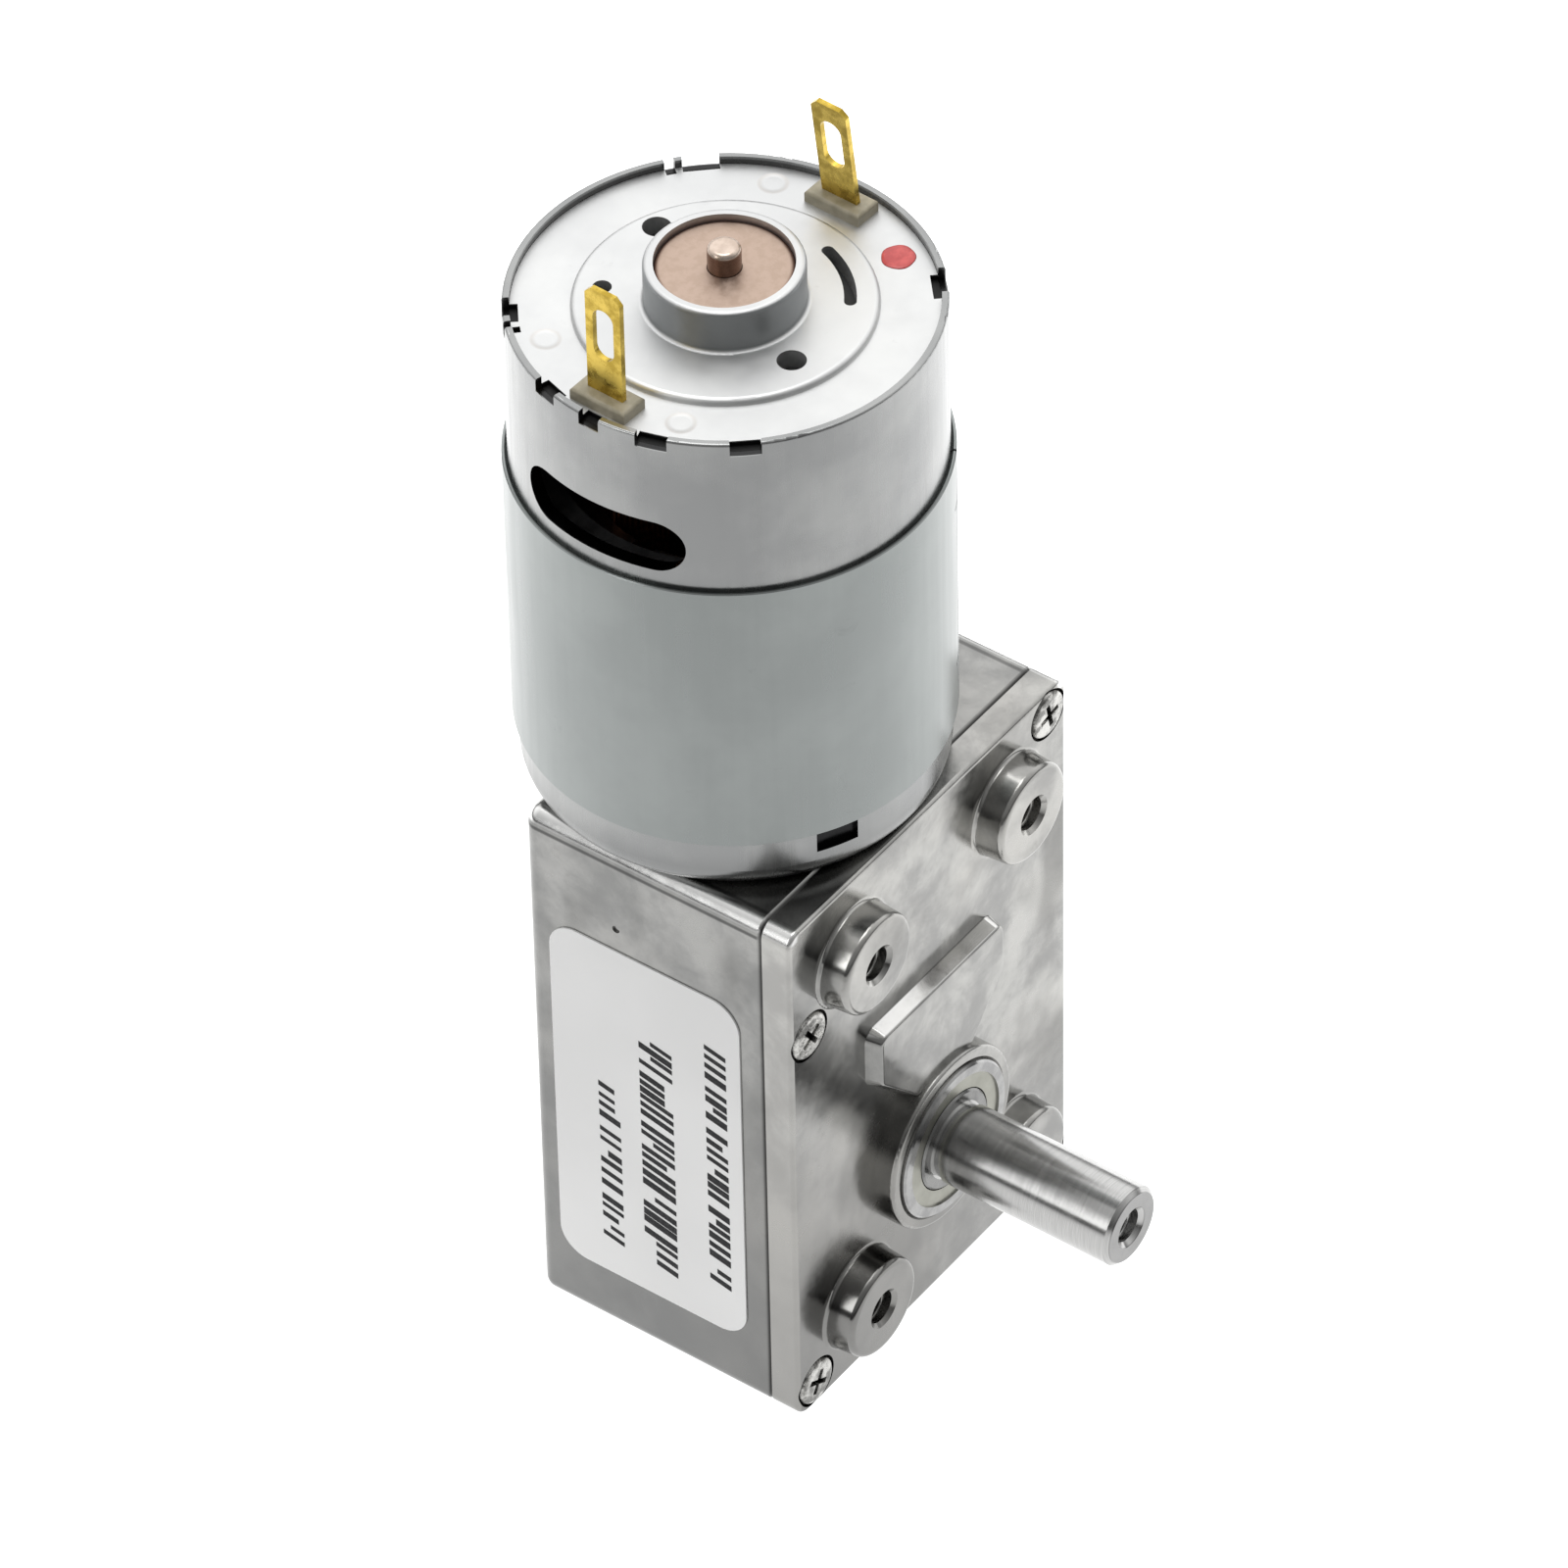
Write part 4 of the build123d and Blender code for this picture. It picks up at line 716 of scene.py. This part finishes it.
def make_dot():
    centre = Vector((*on_plate(DOT_ANGLE, DOT_DISTANCE), PLATE_Z))
    mesh = bmesh.new()
    rings = []
    for share, lift in DOT_RINGS:
        ring = []
        for k in range(DOT_SEGMENTS):
            a = 2 * math.pi * k / DOT_SEGMENTS
            wobble = 1 + 0.03 * math.sin(2 * a + 0.6) + 0.02 * math.sin(5 * a)
            r = DOT_R * share * wobble
            ring.append(mesh.verts.new(centre + Vector((r * math.cos(a), r * math.sin(a), lift * MM))))
        rings.append(ring)
    for low, high in zip(rings, rings[1:]):
        for k in range(DOT_SEGMENTS):
            after = (k + 1) % DOT_SEGMENTS
            mesh.faces.new((low[k], low[after], high[after], high[k]))
    mesh.faces.new(rings[-1])
    mesh.faces.new(list(reversed(rings[0])))
    return make_object("polarity_dot", mesh, dot_paint(), "root")


make_dot()


# ---- print on the label: three rows of plain strokes, with no lettering
PRINT_ROWS = (          # y from and to, z from and to, stroke width, pitch; all in mm
    (7.8, 9.6, 9.4, -13.9, 0.52, 0.84),
    (12.4, 15.2, 7.2, -14.4, 0.50, 0.74),
    (17.0, 18.8, 0.8, -14.6, 0.46, 0.92),
)
PRINT_SEED = 4
PRINT_SLANT = 0.22
PRINT_LIFT = 0.015 * MM
FIRST_GROUP, GROUPS = 5, (5, 7, 9, 11)      # strokes counted down to a gap
GAP = 0.7                                   # as a part of the pitch
CUT_BELOW = (0.0, 0.0, 0.0, 0.0, 0.25)      # one stroke in five is shorter
CUT_ABOVE = (0.0, 0.0, 0.0, 0.0, 0.35)


def add_stroke(mesh, corners):
    """A thin slab on the label's face, from its four corners in mm."""
    points = [Vector((LABEL_LOW.x - PRINT_LIFT, y * MM, at * MM)) for y, at in corners]
    front = [mesh.verts.new(point) for point in points]
    back = [mesh.verts.new(point + Vector((PRINT_LIFT, 0, 0))) for point in points]
    mesh.faces.new(front)
    for k in range(4):
        after = (k + 1) % 4
        mesh.faces.new((front[k], back[k], back[after], front[after]))
    mesh.faces.new(list(reversed(back)))


def make_print():
    dice = random.Random(PRINT_SEED)
    mesh = bmesh.new()
    for y_near, y_far, z_top, z_bottom, width, pitch in PRINT_ROWS:
        height = y_far - y_near
        z = z_top
        until_gap = FIRST_GROUP
        while z > z_bottom + width:
            until_gap -= 1
            if until_gap == 0:
                until_gap = dice.choice(GROUPS)
                z -= GAP * pitch
                continue
            low = y_near + height * dice.choice(CUT_BELOW)
            high = y_far - height * dice.choice(CUT_ABOVE)
            stroke = width * dice.uniform(0.75, 1.25)
            box = ((low, z), (high, z), (high, z - stroke), (low, z - stroke))
            add_stroke(mesh, [(y, at - PRINT_SLANT * (y_far - y)) for y, at in box])
            z -= pitch * dice.uniform(0.85, 1.2)
    bmesh.ops.recalc_face_normals(mesh, faces=mesh.faces)
    return make_object("label_print", mesh, label_ink(), "root", smooth=False)


make_print()


# ---- floor, sky and lights
AWAY = (0.8, 0.6, 0.0)              # level direction from the photo's side to the far side
FLOOR_REACH = 6.0
FLOOR_GAP = 0.02 * MM               # under the object's base, so that the two faces don't coincide
FLOOR_NEAR = (-0.20, -0.02, 0.55, 1.12)     # from and to, along AWAY, then the glow at each
FLOOR_FAR = (-0.02, 0.10, 0.0, 0.65)
SKY_AWAY = (-0.75, 0.75, 0.32, 1.45)
SKY_HEIGHT = (0.08, 0.42, 0.22, 1.0)
WHITE = (1, 1, 1, 1)
SOFTBOXES = (                       # name, place, aim, size, power
    ("overhead", (0.05, 0.10, 0.95), (0, 0, 0), (0.5, 0.5), 2.2),
    ("side", (-0.75, 0.25, 0.42), (0, 0, 0.02), (0.18, 0.5), 0.9),
)


def make_floor():
    """A lit white table: it glows evenly round the object, less on the near side and more far behind."""
    level = cad_low.z - FLOOR_GAP
    data = bpy.data.meshes.new("floor")
    data.from_pydata([(-FLOOR_REACH, -FLOOR_REACH, level), (FLOOR_REACH, -FLOOR_REACH, level),
                      (FLOOR_REACH, FLOOR_REACH, level), (-FLOOR_REACH, FLOOR_REACH, level)],
                     [], [(0, 1, 2, 3)])
    floor = bpy.data.objects.new("floor", data)
    bpy.context.scene.collection.objects.link(floor)
    s = Shader("floor_finish")
    away = s.along(AWAY)
    near = s.ramp(away, *FLOOR_NEAR, smooth=False)
    far = s.ramp(away, *FLOOR_FAR, smooth=False)
    s.link(s.calc("ADD", near, far), s.bsdf.inputs["Emission Strength"])
    s.bsdf.inputs["Emission Color"].default_value = WHITE
    s.finish((0.10, 0.10, 0.10), 0.9, metallic=0.0, Specular_IOR_Level=0.0)
    floor.data.materials.append(s.material)


def make_sky():
    """Soft studio: bright behind the object, dim on the near side, with a dark band at the horizon."""
    world = bpy.data.worlds.new("studio")
    bpy.context.scene.world = world
    world.use_nodes = True
    sky = Graph(world.node_tree, "Generated")
    background = sky.tree.nodes["Background"]
    x, y, z = sky.axes()
    strength = sky.times(sky.ramp(sky.along(AWAY), *SKY_AWAY), sky.ramp(z, *SKY_HEIGHT))
    sky.link(strength, background.inputs["Strength"])
    background.inputs["Color"].default_value = WHITE


def make_softbox(name, place, aim, size, power):
    light = bpy.data.lights.new(name, "AREA")
    light.shape = "RECTANGLE"
    light.size, light.size_y = size
    light.energy = power
    obj = bpy.data.objects.new(name, light)
    obj.location = place
    obj.rotation_mode = "QUATERNION"
    obj.rotation_quaternion = (Vector(aim) - Vector(place)).to_track_quat("-Z", "Y")
    bpy.context.scene.collection.objects.link(obj)


make_floor()
make_sky()
for softbox in SOFTBOXES:
    make_softbox(*softbox)
bpy.context.scene.view_settings.view_transform = "Standard"
